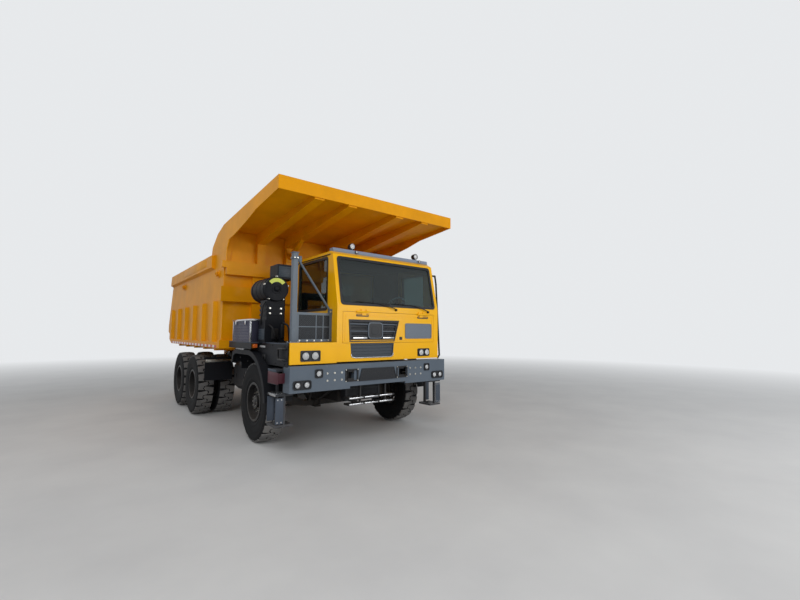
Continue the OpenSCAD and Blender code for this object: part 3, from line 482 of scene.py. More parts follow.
STEP_GREY = Paint("step_grey", srgb(50, 54, 61), 0.5, coat=0.1, dust_top=1.4, dust_amount=0.25, vary=0.15, scuffed=0.4)
BAR_GREY = Paint("bar_grey", srgb(128, 140, 160), 0.4, coat=0.2, dust_amount=0.05, vary=0.05)
TOW_BLACK = Paint("tow_black", srgb(19, 20, 23), 0.5, coat=0.1, dust_amount=0.15, scuffed=0.4)
MAROON = Paint("maroon_panel", srgb(76, 28, 41), 0.5, coat=0.1, dust_amount=0.12)
TYRE_RUBBER = Rubber("tyre_rubber", srgb(20, 21, 23), 0.72, 0.15, dust=srgb(74, 72, 70), dust_top=1.6, dust_amount=0.10, grain=180.0)
# Lug rubber: light grey, partly real road dust and partly a painted highlight for lit lug tops, so the dark casing
# between them reads as painted shade in the grooves.
TREAD_DUST_AND_HIGHLIGHT = Rubber("tread_rubber", srgb(88, 88, 90), 0.88, 0.15, dust=srgb(138, 135, 131), dust_top=2.2, dust_amount=0.8, grain=120.0,
                      depth=0.0008)
WHEEL_BLACK = Paint("wheel_black", srgb(25, 26, 29), 0.42, coat=0.15, dust_top=1.5, dust_amount=0.16, vary=0.15)
GUARD_RUBBER = Rubber("guard_rubber", srgb(22, 24, 29), 0.5, 0.15, dust_amount=0.04)
GRILLE_BLACK = Rubber("grille_black", srgb(26, 29, 34), 0.38, dust_amount=0.04, depth=0.0002)
TRIM_GREY = Rubber("trim_grey", srgb(54, 63, 72), 0.4, dust_amount=0.03, depth=0.0002)
SLATE = Rubber("slate_plate", srgb(104, 114, 126), 0.35, dust_amount=0.03, depth=0.0002)
DASH_GREY = Rubber("dash_grey", srgb(196, 203, 210), 0.6, dust_amount=0.05, grain=500.0)
SEAT_CLOTH = Rubber("seat_cloth", srgb(36, 46, 50), 0.9, dust_amount=0.05, grain=700.0, depth=0.0008)
TREAD_PLATE = Metal("tread_plate", srgb(74, 74, 92), 0.42, dust_amount=0.05)
BRIGHT_METAL = Metal("bright_metal", srgb(205, 207, 210), 0.2, dust_amount=0.1)
ZINC = Metal("zinc_bolt", srgb(190, 188, 180), 0.3)
ROD_CHROME = Metal("rod_chrome", srgb(215, 217, 220), 0.08, dust_amount=0.05, brushed=0.05)
SCREEN_GLASS = Glass("glass", srgb(96, 118, 118), 0.02, 0.06, clear=0.96)
WINDSCREEN_GLASS = Glass("windscreen_glass", srgb(120, 142, 142), 0.02, 0.05, clear=0.97, band=(3.02, 3.18))
LAMP_LENS = Glass("lamp_lens", srgb(238, 240, 242), 0.05, 0.5, clear=0.45)
AMBER_LENS = Glass("amber_lens", srgb(235, 110, 18), 0.08, 0.5, clear=0.3)
RED_LENS = Glass("red_lens", srgb(176, 18, 16), 0.08, 0.5, clear=0.3)
LINING = Rubber("cab_lining", srgb(24, 26, 29), 0.85, 0.15, dust_amount=0.03, grain=600.0)
SIGNAL_GREEN = Paint("signal_green", srgb(208, 220, 84), 0.4, coat=0.2, dust_amount=0.03)
TAPE_RED = Paint("tape_red", srgb(196, 32, 26), 0.35, coat=0.4, dust_amount=0.10)
TAPE_WHITE = Paint("tape_white", srgb(222, 222, 218), 0.35, coat=0.4, dust_amount=0.10)
PALE_PLATE = Paint("pale_plate", srgb(68, 77, 90), 0.5, 0.2, coat=0.05, dust_amount=0.1, scuffed=0.2)
MESH_BLACK = Paint("mesh_black", srgb(44, 52, 60), 0.5, coat=0.0, dust_amount=0.05)
HOSE = Rubber("hose_rubber", srgb(22, 22, 24), 0.55, dust_amount=0.15, grain=420.0)

NODE_FINISH: dict[str, Finish] = {
    "frame": CHASSIS_BLACK, "outriggers": CHASSIS_BLACK, "bumper": BUMPER_GREY, "tow_brackets": TOW_BLACK,
    "front_axle": AXLE_IRON, "front_springs": AXLE_IRON, "knuckle_left": AXLE_IRON, "knuckle_right": AXLE_IRON,
    "tie_rod": AXLE_IRON, "front_wheel_left": WHEEL_BLACK, "front_wheel_right": WHEEL_BLACK,
    "rear_axles": AXLE_IRON, "rear_springs": AXLE_IRON, "wheels_1_left": WHEEL_BLACK, "wheels_1_right": WHEEL_BLACK,
    "wheels_2_left": WHEEL_BLACK, "wheels_2_right": WHEEL_BLACK, "engine": AXLE_IRON, "radiator": GRILLE_BLACK,
    "driveline": AXLE_IRON, "side_tanks": CHASSIS_BLACK, "deck": CHASSIS_BLACK, "corner_panel": CAB_YELLOW,
    "guard_post": POST_GREY, "air_cleaner": GUARD_RUBBER, "battery_box": TREAD_PLATE, "mudguards": GUARD_RUBBER,
    "steps": STEP_GREY, "grab_rail": TOW_BLACK, "cab_shell": CAB_YELLOW, "cab_roof": CAB_YELLOW,
    "cab_door": CAB_YELLOW, "door_glass": SCREEN_GLASS, "windscreen": WINDSCREEN_GLASS, "cab_windows": SCREEN_GLASS,
    "front_flap": CAB_YELLOW, "grille": GRILLE_BLACK, "dashboard": DASH_GREY, "seats": SEAT_CLOTH,
    "light_bar": BAR_GREY, "lamps": LAMP_LENS, "hoist_barrels": CHASSIS_BLACK, "hoist_rods": ROD_CHROME,
    "bed_floor": BED_ORANGE, "bed_sides": BED_ORANGE, "bed_front": BED_ORANGE, "canopy": BED_ORANGE,
    "canopy_ribs": BED_ORANGE, "lift_eyes": BED_ORANGE, "front_step": TOW_BLACK,
    "front_tyre_left": TYRE_RUBBER, "front_tyre_right": TYRE_RUBBER, "tyres_1_left": TYRE_RUBBER,
    "tyres_1_right": TYRE_RUBBER, "tyres_2_left": TYRE_RUBBER, "tyres_2_right": TYRE_RUBBER,
}
EDGE_WIDTH: dict[str, float] = {
    "bed_floor": 0.004, "bed_sides": 0.006, "bed_front": 0.006, "canopy": 0.005, "cab_shell": 0.012,
    "cab_roof": 0.012, "corner_panel": 0.008, "bumper": 0.006, "front_flap": 0.005, "cab_door": 0.006,
}


# ------------------------------------------------------------------ mesh tools


def smoothing_group() -> bpy.types.NodeTree:
    """Geometry nodes that join a CAD mesh's loose triangles and shade it smooth between its sharp edges.

    Returns:
        The node group, made once.
    """
    found = bpy.data.node_groups.get("join_and_smooth")
    if found is not None:
        return found
    tree = bpy.data.node_groups.new("join_and_smooth", "GeometryNodeTree")
    tree.interface.new_socket("Geometry", in_out="INPUT", socket_type="NodeSocketGeometry")
    tree.interface.new_socket("Geometry", in_out="OUTPUT", socket_type="NodeSocketGeometry")
    new, link = tree.nodes.new, tree.links.new
    source, end = new("NodeGroupInput"), new("NodeGroupOutput")
    plain = new("GeometryNodeRemoveAttribute")
    plain.inputs["Name"].default_value = "custom_normal"
    merge = new("GeometryNodeMergeByDistance")
    merge.inputs["Distance"].default_value = 0.00002
    faces = new("GeometryNodeSetShadeSmooth")
    faces.domain = "FACE"
    edges = new("GeometryNodeSetShadeSmooth")
    edges.domain = "EDGE"
    edges.inputs["Shade Smooth"].default_value = False
    angle = new("GeometryNodeInputMeshEdgeAngle")
    sharp = new("FunctionNodeCompare")
    sharp.operation = "GREATER_THAN"
    sharp.inputs[1].default_value = math.radians(28)
    link(source.outputs[0], plain.inputs[0])
    link(plain.outputs[0], merge.inputs[0])
    link(merge.outputs[0], faces.inputs[0])
    link(faces.outputs[0], edges.inputs[0])
    link(angle.outputs[0], sharp.inputs[0])
    link(sharp.outputs[0], edges.inputs["Selection"])
    link(edges.outputs[0], end.inputs[0])
    return tree


def smooth_between_edges(piece: bpy.types.Object, name: str) -> None:
    """Adds the joining and smoothing modifier.

    Args:
        piece: the object.
        name: the modifier's name.
    """
    made = piece.modifiers.new(name, "NODES")
    made.node_group = smoothing_group()


def rounded(piece: bpy.types.Object, width: float, segments: int = 2, flatten: bool = True) -> None:
    """Rounds a piece's sharp edges with live modifiers.

    Args:
        piece: the object.
        width: the rounding's width in metres.
        segments: its steps.
        flatten: whether triangles in one plane are joined first.
    """
    if flatten:
        flat = piece.modifiers.new("flat_faces", "DECIMATE")
        flat.decimate_type = "DISSOLVE"
        flat.angle_limit = math.radians(0.4)
    bevel = piece.modifiers.new("rounded_edges", "BEVEL")
    bevel.limit_method = "ANGLE"
    bevel.angle_limit = math.radians(40)
    bevel.width = width
    bevel.segments = segments
    bevel.profile = 0.5
    bevel.use_clamp_overlap = True
    smooth_between_edges(piece, "smooth_faces")


class Shape:
    """The mesh of one piece while it is made."""

    def __init__(self, name: str) -> None:
        """Starts an empty mesh.

        Args:
            name: the piece's name.
        """
        self.name = name
        self.bm = bmesh.new()

    def box(self, low: Sequence[float], high: Sequence[float], edge: float = 0.0, steps: int = 2) -> list:
        """Adds a block between two corners.

        Args:
            low: lowest corner.
            high: highest corner.
            edge: rounding of its edges.
            steps: steps of the rounding.

        Returns:
            The block's vertices before rounding.
        """
        a, b = Vector(low), Vector(high)
        place = Matrix.Translation((a + b) / 2) @ Matrix.Diagonal((*(b - a), 1.0))
        made = bmesh.ops.create_cube(self.bm, size=1.0, matrix=place)["verts"]
        return self.round_off(made, edge, steps)

    def slab(self, x: Span, y: Span, z: Span, edge: float = 0.0, steps: int = 2) -> list:
        """Adds a block told by its spans, with Y from the front axle.

        Args:
            x: lowest and highest X.
            y: lowest and highest Y behind the front axle.
            z: lowest and highest Z.
            edge: rounding of its edges.
            steps: steps of the rounding.

        Returns:
            The block's vertices.
        """
        return self.box(at(x[0], y[0], z[0]), at(x[1], y[1], z[1]), edge, steps)

    def ring(self, outer: Sequence[Vector], inner: Sequence[Vector], push: Sequence[float]) -> None:
        """Adds a flat ring between two outlines of as many corners, with a thickness.

        Args:
            outer: corners of the outer outline.
            inner: corners of the inner outline.
            push: the way and distance of its thickness.
        """
        a = [self.bm.verts.new(v) for v in outer]
        b = [self.bm.verts.new(v) for v in inner]
        n = len(a)
        faces = [self.bm.faces.new((a[i], a[(i + 1) % n], b[(i + 1) % n], b[i])) for i in range(n)]
        made = bmesh.ops.extrude_face_region(self.bm, geom=faces, use_keep_orig=True)["geom"]
        far = [v for v in made if isinstance(v, bmesh.types.BMVert)]
        bmesh.ops.translate(self.bm, verts=far, vec=Vector(push))

    def front_plate(self, outline: Sequence[tuple[float, float]], y: float, thick: float, edge: float = 0.0) -> None:
        """Adds a plate that faces forward.

        Args:
            outline: its corners as X and Z.
            y: its back behind the front axle.
            thick: how far it stands forward.
            edge: rounding of its edges.
        """
        self.plate([at(x, y, z) for x, z in outline], (0, -thick, 0), edge, 1)

    def front_ring(self, outer: Sequence[tuple[float, float]], inner: Sequence[tuple[float, float]], y: float,
                   thick: float) -> None:
        """Adds a ring that faces forward, told as front_plate tells its outline."""
        self.ring([at(x, y, z) for x, z in outer], [at(x, y, z) for x, z in inner], (0, -thick, 0))

    def side_ring(self, outer: Sequence[tuple[float, float]], inner: Sequence[tuple[float, float]], x: float,
                  thick: float) -> None:
        """Adds a ring across X between two outlines of Y and Z, thick along X."""
        self.ring([at(x, y, z) for y, z in outer], [at(x, y, z) for y, z in inner], (thick, 0, 0))

    def lens(self, centre: Sequence[float], radius: float, dome: float = 0.25, axis: Along = Along.Y,
             sign: int = -1) -> None:
        """Adds a domed lens or cap with a turned rim.

        Args:
            centre: middle of its seat, Y from the front axle.
            radius: its radius.
            dome: its height as a share of the radius.
            axis: the way it faces.
            sign: 1 or -1 along that axis.
        """
        rise = radius * dome * sign
        turns = [(radius * math.sin(t), rise * math.cos(t)) for t in (0.0, 0.35, 0.7, 1.05, 1.35, math.pi / 2)]
        profile = [(max(r, 0.0), h) for r, h in turns] + [(0.0, 0.0)]
        self.turned(profile, at(*centre), axis, 28)

    def lozenges(self, corner: Sequence[float], along: Sequence[float], up: Sequence[float], pitch: float = 0.05) -> None:
        """Adds the raised lozenges of tread plate on a face.

        Args:
            corner: a corner of the face, Y from the front axle.
            along: one edge of the face.
            up: the other edge.
            pitch: distance between lozenges.
        """
        start, a, b = at(*corner), Vector(along), Vector(up)
        u, v = a.normalized(), b.normalized()
        out = u.cross(v)
        across, high = int(a.length / pitch), int(b.length / pitch)
        for i in range(across):
            for j in range(high):
                middle = start + u * (i + 0.5) * pitch + v * (j + 0.5) * pitch
                lean = 1 if (i + j) % 2 else -1
                d = (u + v * lean).normalized() * pitch * 0.42
                w = (u - v * lean).normalized() * pitch * 0.12
                foot = [self.bm.verts.new(middle + q - out * 0.0005) for q in (d, w, -d, -w)]
                crest = [self.bm.verts.new(middle + q * 0.7 + out * 0.0025) for q in (d, w, -d, -w)]
                self.bm.faces.new(crest)
                self.bm.faces.new(foot[::-1])
                for k in range(4):
                    self.bm.faces.new((foot[k], foot[(k + 1) % 4], crest[(k + 1) % 4], crest[k]))

    def take(self, part: "Shape", shift: Sequence[float] = (0.0, 0.0, 0.0)) -> None:
        """Adds another shape's mesh and frees that shape.

        Args:
            part: the shape to add.
            shift: how far it is moved first.
        """
        mesh = bpy.data.meshes.new("part")
        bmesh.ops.translate(part.bm, verts=list(part.bm.verts), vec=shift)
        bmesh.ops.recalc_face_normals(part.bm, faces=list(part.bm.faces))
        part.bm.to_mesh(mesh)
        part.bm.free()
        self.bm.from_mesh(mesh)
        bpy.data.meshes.remove(mesh)

    def move(self, matrix: Matrix) -> None:
        """Moves everything so far.

        Args:
            matrix: the move.
        """
        bmesh.ops.transform(self.bm, matrix=matrix, verts=list(self.bm.verts))

    def round_off(self, verts: list, edge: float, steps: int = 2) -> list:
        """Rounds every edge of the shape that the vertices make.

        Args:
            verts: the shape's vertices.
            edge: width of the rounding; nothing happens at 0.
            steps: steps of the rounding.

        Returns:
            The vertices of the rounded shape.
        """
        if edge <= 0:
            return verts
        edges = list({e for v in verts for e in v.link_edges})
        made = bmesh.ops.bevel(self.bm, geom=edges, offset=edge, segments=steps, affect="EDGES",
                               profile=0.5, material=-1, clamp_overlap=True)
        return made["verts"]

    def rod(self, start: Sequence[float], end: Sequence[float], radius: float, tip: Optional[float] = None,
            sides: int = 20, edge: float = 0.0) -> list:
        """Adds a round bar or cone.

        Args:
            start: middle of the first end.
            end: middle of the other end.
            radius: radius at the start.
            tip: radius at the end, the same if left out.
            sides: sides of the circle.
            edge: rounding of the two rims.

        Returns:
            Its vertices.
        """
        a, b = Vector(start), Vector(end)
        turn = (b - a).to_track_quat("Z", "Y").to_matrix().to_4x4()
        place = Matrix.Translation((a + b) / 2) @ turn
        made = bmesh.ops.create_cone(self.bm, cap_ends=True, segments=sides, radius1=radius,
                                     radius2=radius if tip is None else tip, depth=(b - a).length, matrix=place)["verts"]
        if edge > 0:
            rims = list({e for v in made for e in v.link_edges if len(e.link_faces) == 2
                         and any(len(f.verts) > 4 for f in e.link_faces)})
            bmesh.ops.bevel(self.bm, geom=rims, offset=edge, segments=2, affect="EDGES", profile=0.5, material=-1,
                            clamp_overlap=True)
        return made

    def plate(self, outline: Sequence[Sequence[float]], push: Sequence[float], edge: float = 0.0, steps: int = 2) -> list:
        """Adds a plate: an outline pushed along a vector.

        Args:
            outline: its corners in order, in one plane.
            push: the way and distance.
            edge: rounding of its edges.
            steps: steps of the rounding.

        Returns:
            The plate's vertices before rounding.
        """
        verts = [self.bm.verts.new(p) for p in outline]
        face = self.bm.faces.new(verts)
        face.normal_update()
        if face.normal.dot(Vector(push)) > 0:
            face.normal_flip()
        made = bmesh.ops.extrude_face_region(self.bm, geom=[face], use_keep_orig=True)["geom"]
        far = [v for v in made if isinstance(v, bmesh.types.BMVert)]
        bmesh.ops.translate(self.bm, verts=far, vec=Vector(push))
        return self.round_off(verts + far, edge, steps)

    def turned(self, profile: Sequence[tuple[float, float]], centre: Sequence[float], axis: Along = Along.Y,
               sides: int = 32, closed: bool = False) -> None:
        """Adds a turned shape.

        Args:
            profile: radius and place along the axis, from one end to the other.
            centre: the point that places are told from.
            axis: the axis it is turned about.
            sides: steps of the turn.
            closed: whether the profile is a ring that joins its own start.
        """
        part = Shape("part")
        way = Vector(axis.value)
        out = Vector((0, 0, 1)) if axis is not Along.Z else Vector((1, 0, 0))
        middle = Vector(centre)
        verts = [part.bm.verts.new(middle + way * h + out * r) for r, h in profile]
        pairs = list(zip(verts, verts[1:])) + ([(verts[-1], verts[0])] if closed else [])
        edges = [part.bm.edges.new(pair) for pair in pairs]
        bmesh.ops.spin(part.bm, geom=verts + edges, cent=middle, axis=way, dvec=(0, 0, 0), angle=math.tau,
                       steps=sides, use_merge=True, use_normal_flip=False, use_duplicate=False)
        bmesh.ops.remove_doubles(part.bm, verts=list(part.bm.verts), dist=0.00001)
        self.take(part)

    def pipe(self, path: Sequence[Sequence[float]], radius: float, sides: int = 12, bend: float = 0.0) -> None:
        """Adds a bent tube with closed ends.

        Args:
            path: the points it follows.
            radius: its radius.
            sides: sides of its section.
            bend: radius at which its corners are bent.
        """
        points = round_path([Vector(p) for p in path], bend)
        rings = []
        last = None
        for i, p in enumerate(points):
            before, after = points[max(0, i - 1)], points[min(len(points) - 1, i + 1)]
            way = (after - before).normalized()
            turn = way.to_track_quat("Z", "Y") if last is None else last[1].rotation_difference(way) @ last[0]
            last = (turn, way)
            place = Matrix.Translation(p) @ turn.to_matrix().to_4x4()
            ring = bmesh.ops.create_circle(self.bm, cap_ends=i in (0, len(points) - 1), segments=sides, radius=radius,
                                           matrix=place)["verts"]
            rings.append(ring)
        for one, two in zip(rings, rings[1:]):
            edges = [e for ring in (one, two) for e in {e for v in ring for e in v.link_edges}
                     if e.verts[0] in ring and e.verts[1] in ring]
            bmesh.ops.bridge_loops(self.bm, edges=edges)

    def bolt(self, place: Sequence[float], way: Sequence[float], size: float = 0.012) -> None:
        """Adds a hexagon head on its washer.

        Args:
            place: middle of its seat.
            way: the way it points.
            size: radius of the head.
        """
        a, d = Vector(place), Vector(way).normalized()
        self.rod(a - d * 0.001, a + d * size * 0.25, size * 1.3, sides=14)
        self.rod(a + d * size * 0.2, a + d * size * 0.9, size, size * 0.92, sides=6)

    def around(self, count: int, centre: Sequence[float], axis: Along = Along.X, geom: Optional[list] = None) -> None:
        """Repeats everything so far, or some of it, evenly round an axis.

        Args:
            count: how many there are in all.
            centre: a point on the axis.
            axis: the axis.
            geom: what is repeated, all of it if left out.
        """
        what = geom if geom is not None else list(self.bm.verts) + list(self.bm.edges) + list(self.bm.faces)
        for i in range(1, count):
            copy = bmesh.ops.duplicate(self.bm, geom=what)["geom"]
            verts = [v for v in copy if isinstance(v, bmesh.types.BMVert)]
            turn = Matrix.Rotation(math.tau * i / count, 3, Vector(axis.value))
            bmesh.ops.rotate(self.bm, verts=verts, cent=Vector(centre), matrix=turn)

    def mirrored(self) -> None:
        """Adds the mirror image on the truck's other side."""
        copy = bmesh.ops.duplicate(self.bm, geom=list(self.bm.verts) + list(self.bm.edges) + list(self.bm.faces))["geom"]
        verts = [v for v in copy if isinstance(v, bmesh.types.BMVert)]
        bmesh.ops.scale(self.bm, verts=verts, vec=(-1, 1, 1))
        bmesh.ops.reverse_faces(self.bm, faces=[f for f in copy if isinstance(f, bmesh.types.BMFace)])

    def done(self, body: str, finish: Finish, slot: str = "", smooth: float = 32.0) -> bpy.types.Object:
        """Makes the piece.

        Args:
            body: the CAD body it rides on.
            finish: its finish.
            slot: a material slot's name; not used.
            smooth: angle in degrees below which edges are shaded smooth.

        Returns:
            The object.
        """
        bmesh.ops.recalc_face_normals(self.bm, faces=list(self.bm.faces))
        for f in self.bm.faces:
            f.smooth = True
        for e in self.bm.edges:
            if len(e.link_faces) == 2:
                e.smooth = e.calc_face_angle(0.0) < math.radians(smooth)
        mesh = bpy.data.meshes.new(self.name)
        self.bm.to_mesh(mesh)
        self.bm.free()
        piece = bpy.data.objects.new(self.name, mesh)
        bpy.context.scene.collection.objects.link(piece)
        mesh.materials.append(finish.material())
        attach(piece, body)
        LOG.info("%s: %d faces on %s", self.name, len(mesh.polygons), body)
        return piece


def rounded_corners(x: Span, z: Span, radius: float, steps: int = 4) -> list[tuple[float, float]]:
    """Outline of a rectangle with round corners.

    Args:
        x: lowest and highest first coordinate.
        z: lowest and highest second coordinate.
        radius: radius of its corners.
        steps: steps of each corner.

    Returns:
        The corners in order.
    """
    made = []
    middles = ((x[1] - radius, z[1] - radius, 0), (x[0] + radius, z[1] - radius, 1),
               (x[0] + radius, z[0] + radius, 2), (x[1] - radius, z[0] + radius, 3))
    for cx, cz, quarter in middles:
        for i in range(steps + 1):
            turn = (quarter + i / steps) * math.pi / 2
            made.append((cx + radius * math.cos(turn), cz + radius * math.sin(turn)))
    return made


def inset(outline: Sequence[tuple[float, float]], by: float) -> list[tuple[float, float]]:
    """An outline drawn smaller towards its middle.

    Args:
        outline: its corners.
        by: how much nearer to the middle they are, along each axis.

    Returns:
        The smaller outline.
    """
    xs, zs = [p[0] for p in outline], [p[1] for p in outline]
    mx, mz = (min(xs) + max(xs)) / 2, (min(zs) + max(zs)) / 2
    kx, kz = 1 - 2 * by / (max(xs) - min(xs)), 1 - 2 * by / (max(zs) - min(zs))
    return [(mx + (x - mx) * kx, mz + (z - mz) * kz) for x, z in outline]


def round_path(points: list[Vector], bend: float, steps: int = 5) -> list[Vector]:
    """Rounds the corners of a path.

    Args:
        points: the path's points.
        bend: distance from a corner at which the bend starts.
        steps: points in each bend.

    Returns:
        The points of the rounded path.
    """
    if bend <= 0 or len(points) < 3:
        return points
    made = [points[0]]
    for a, b, c in zip(points, points[1:], points[2:]):
        reach = min(bend, (a - b).length * 0.48, (c - b).length * 0.48)
        start, end = b + (a - b).normalized() * reach, b + (c - b).normalized() * reach
        for i in range(steps + 1):
            t = i / steps
            made.append(start * (1 - t) ** 2 + b * 2 * t * (1 - t) + end * t * t)
    made.append(points[-1])
    return made


# ---------------------------------------------------------------------- pieces


@dataclass
class TreadedTyre:
    """Tyres of one wheel body: moulded sidewalls and staggered lugs."""

    radius: float = TYRE_R
    depth: float = 0.024
    rows: int = 42
    groove: float = 0.0095

    def section(self) -> list[tuple[float, float]]:
        """Outline of half the casing as radius and width, from bead to the middle of the tread."""
        base = self.radius - self.depth
        return [
            (RIM_R + 0.001, 0.146), (RIM_R + 0.014, 0.150), (RIM_R + 0.018, 0.142), (RIM_R + 0.034, 0.150),
            (0.390, 0.163), (0.396, 0.166), (0.402, 0.164), (0.450, 0.1745), (0.500, 0.1790), (0.545, 0.1785),
            (0.585, 0.1745), (0.598, 0.1760), (0.604, 0.1730), (0.625, 0.1690), (0.640, 0.1620), (base - 0.006, 0.150),
            (base, 0.120), (base + 0.002, 0.06), (base + 0.002, 0.0),
        ]

    def crown_r(self, across: float) -> float:
        """Radius of the tread's surface at a place across it."""
        a = abs(across)
        return self.radius - 0.001 - 0.010 * max(0.0, (a - 0.10) / 0.05) ** 2 * (1 if a > 0.10 else 0)

    def lug(self, shape: Shape, outline: Sequence[tuple[float, float]], x: float, turn: float) -> None:
        """Adds one tread block.

        Args:
            shape: the mesh.
            outline: its corners as place across and along the tread.
            x: the tyre's middle.
            turn: angle of its row.
        """
        inner = self.radius - self.depth - 0.006
        flat = shape.plate([(a, s, inner) for a, s in outline], (0, 0, self.depth + 0.004))
        top = [v for v in flat if v.co.z > inner + 0.001]
        rims = list({e for v in top for e in v.link_edges if all(w in top for w in e.verts)})
        made = bmesh.ops.bevel(shape.bm, geom=rims, offset=0.005, segments=1, affect="EDGES", profile=0.5, material=-1,
                               clamp_overlap=True)
        every = {v for v in flat if v.is_valid} | set(made["verts"])
        for v in every:
            across, along, height = v.co
            r = height - self.radius + self.crown_r(across)
            if height > inner + 0.001:
                r = min(r, self.crown_r(across))
            angle = turn + along / self.radius
            v.co = (x + across, math.sin(angle) * r, math.cos(angle) * r)

    def casing(self, shape: Shape, x: float, y: float) -> None:
        """Adds one tyre's casing.

        Args:
            shape: the mesh.
            x: the tyre's middle.
            y: its axle behind the front one.
        """
        part = Shape("part")
        half = self.section()
        part.turned([(r, w) for r, w in half] + [(r, -w) for r, w in reversed(half[:-1])], (x, 0, 0), Along.X, 96)
        shape.take(part, (0, y + Y_SHIFT, AXLE_Z))

    def lugs(self, shape: Shape, x: float, y: float, flip: int) -> None:
        """Adds one tyre's lugs.

        Args:
            shape: the mesh.
            x: the tyre's middle.
            y: its axle behind the front one.
            flip: 1 or -1, which way the lugs lean.
        """
        part = Shape("part")
        step = math.tau / self.rows
        half, w, g, lean = step * self.radius / 2, 0.158, self.groove, 0.022
        long_lug = [(-w, -half + g - lean), (-0.06, -half + g - 0.006), (0.020, -half + g + 0.008), (0.046, 0.004),
                    (0.024, half - g + 0.010), (-0.06, half - g - 0.006), (-w, half - g - lean)]
        short_lug = [(0.042, -half + g + 0.010), (w, -half + g + lean), (w, half - g + lean), (0.046, half - g + 0.012),
                     (0.068, 0.006)]
        for row in range(self.rows):
            side = flip if row % 2 else -flip
            for outline in (long_lug, short_lug):
                self.lug(part, [(a * side, s) for a, s in outline], x, row * step)
        shape.take(part, (0, y + Y_SHIFT, AXLE_Z))

    def build(self) -> None:
        """Makes the casings and lugs of the six wheel bodies."""
        spots = [("front", "wheel_front", "front_tyre", FRONT_X, 0.0, (0.0,))]
        spots += [(f"rear_{i}", f"wheels_rear_{i}", f"tyres_{i}", REAR_X, y, (-TWIN_HALF, TWIN_HALF))
                  for i, y in enumerate(REAR_YS, 1)]
        for side in Side:
            for word, body, node, x, y, offs in spots:
                casing, lugs = Shape(f"tyre_casing_{word}_{side.word}"), Shape(f"tyre_lugs_{word}_{side.word}")
                for off in offs:
                    self.casing(casing, x * side.value + off, y)
                    self.lugs(lugs, x * side.value + off, y, side.value)
                # The lugs take the lighter finish, partly dust and partly a painted highlight on their tops; the dark
                # casing shows in the grooves as painted shade.
                for shape, finish in ((casing, TYRE_RUBBER), (lugs, TREAD_DUST_AND_HIGHLIGHT)):
                    piece = shape.done(f"{body}_{side.word}", finish, "tyre_rubber")
                    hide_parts(f"{node}_{side.word}")


@dataclass
class CadDressing:
    """Finishes and rounded edges for the CAD nodes that stay."""

    edge: float = 0.003

    def build(self) -> None:
        """Gives each node its finish and rounds its edges."""
        for name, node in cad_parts.items():
            finish = NODE_FINISH[name]
            node.data.materials.clear()
            node.data.materials.append(finish.material())
            smooth_between_edges(node, "join_faces")
            rounded(node, EDGE_WIDTH.get(name, self.edge), flatten=name != "bed_front")
            LOG.info("node %s: %s", name, finish.name)


@dataclass
class WheelTrim:
    """Nuts, hub covers and rim lips of the wheels."""

    nuts: int = 10
    circle: float = 0.168
    lip: float = 0.146

    def fasteners(self, face: float, cap: float) -> Shape:
        """Makes one wheel's nuts and the hub's screws round the X axis, facing +X.

        Args:
            face: place of the disc's face.
            cap: place of the hub's end.

        Returns:
            The shape.
        """
        nut, r = Shape("nut"), self.circle
        nut.rod((face - 0.001, 0, r), (face + 0.006, 0, r), 0.021, sides=16)
        nut.rod((face + 0.005, 0, r), (face + 0.026, 0, r), 0.0165, 0.0150, sides=6)
        nut.rod((face + 0.020, 0, r), (face + 0.042, 0, r), 0.0095, 0.0080, sides=10)
        nut.around(self.nuts, (0, 0, 0))
        screw = Shape("screw")
        screw.rod((cap - 0.001, 0, 0.088), (cap + 0.009, 0, 0.088), 0.009, sides=6)
        screw.around(8, (0, 0, 0))
        nut.take(screw)
        return nut

    def rings(self, face: float, cap: float) -> Shape:
        """Makes one wheel's hub cover, flange and rim lips round the X axis, facing +X."""
        made = Shape("rings")
        made.turned([(0.0, cap + 0.016), (0.044, cap + 0.014), (0.058, cap + 0.006), (0.066, cap - 0.001), (0.0, cap - 0.001)],
                    (0, 0, 0), Along.X, 28)
        closed = (
            [(0.104, cap - 0.022), (0.111, cap - 0.020), (0.111, cap - 0.004), (0.104, cap)],
            [(0.104, face - 0.002), (0.104, face + 0.012), (0.140, face + 0.012), (0.149, face + 0.004), (0.149, face - 0.002)],
            [(0.296, self.lip - 0.010), (0.298, self.lip + 0.012), (0.316, self.lip + 0.014), (0.334, self.lip + 0.010),
             (0.336, self.lip + 0.003), (0.318, self.lip + 0.002), (0.314, self.lip - 0.012)],
        )
        for profile in closed:
            made.turned(profile, (0, 0, 0), Along.X, 48, closed=True)
        made.rod((face - 0.004, 0, -0.285), (face + 0.05, 0, -0.272), 0.006, 0.005, sides=8)
        return made

    def build(self) -> None:
        """Makes the trim of the six wheels."""
        outer = REAR_X + TWIN_HALF
        spots = (("front", "wheel_front", FRONT_X, 0.0, 0.060, 0.130),
                 ("rear_1", "wheels_rear_1", outer, REAR_YS[0], -0.098, 0.030),
                 ("rear_2", "wheels_rear_2", outer, REAR_YS[1], -0.098, 0.030))
        for side in Side:
            for word, body, x, y, face, cap in spots:
                for name, part, finish in (("nuts", self.fasteners(face, cap), ZINC), ("rings", self.rings(face, cap), WHEEL_BLACK)):
                    part.move(Matrix.Scale(side.value, 4, (1, 0, 0)))
                    shape = Shape(f"wheel_{name}_{word}_{side.word}")
                    shape.take(part, (x * side.value, y + Y_SHIFT, AXLE_Z))
                    shape.done(f"{body}_{side.word}", finish)


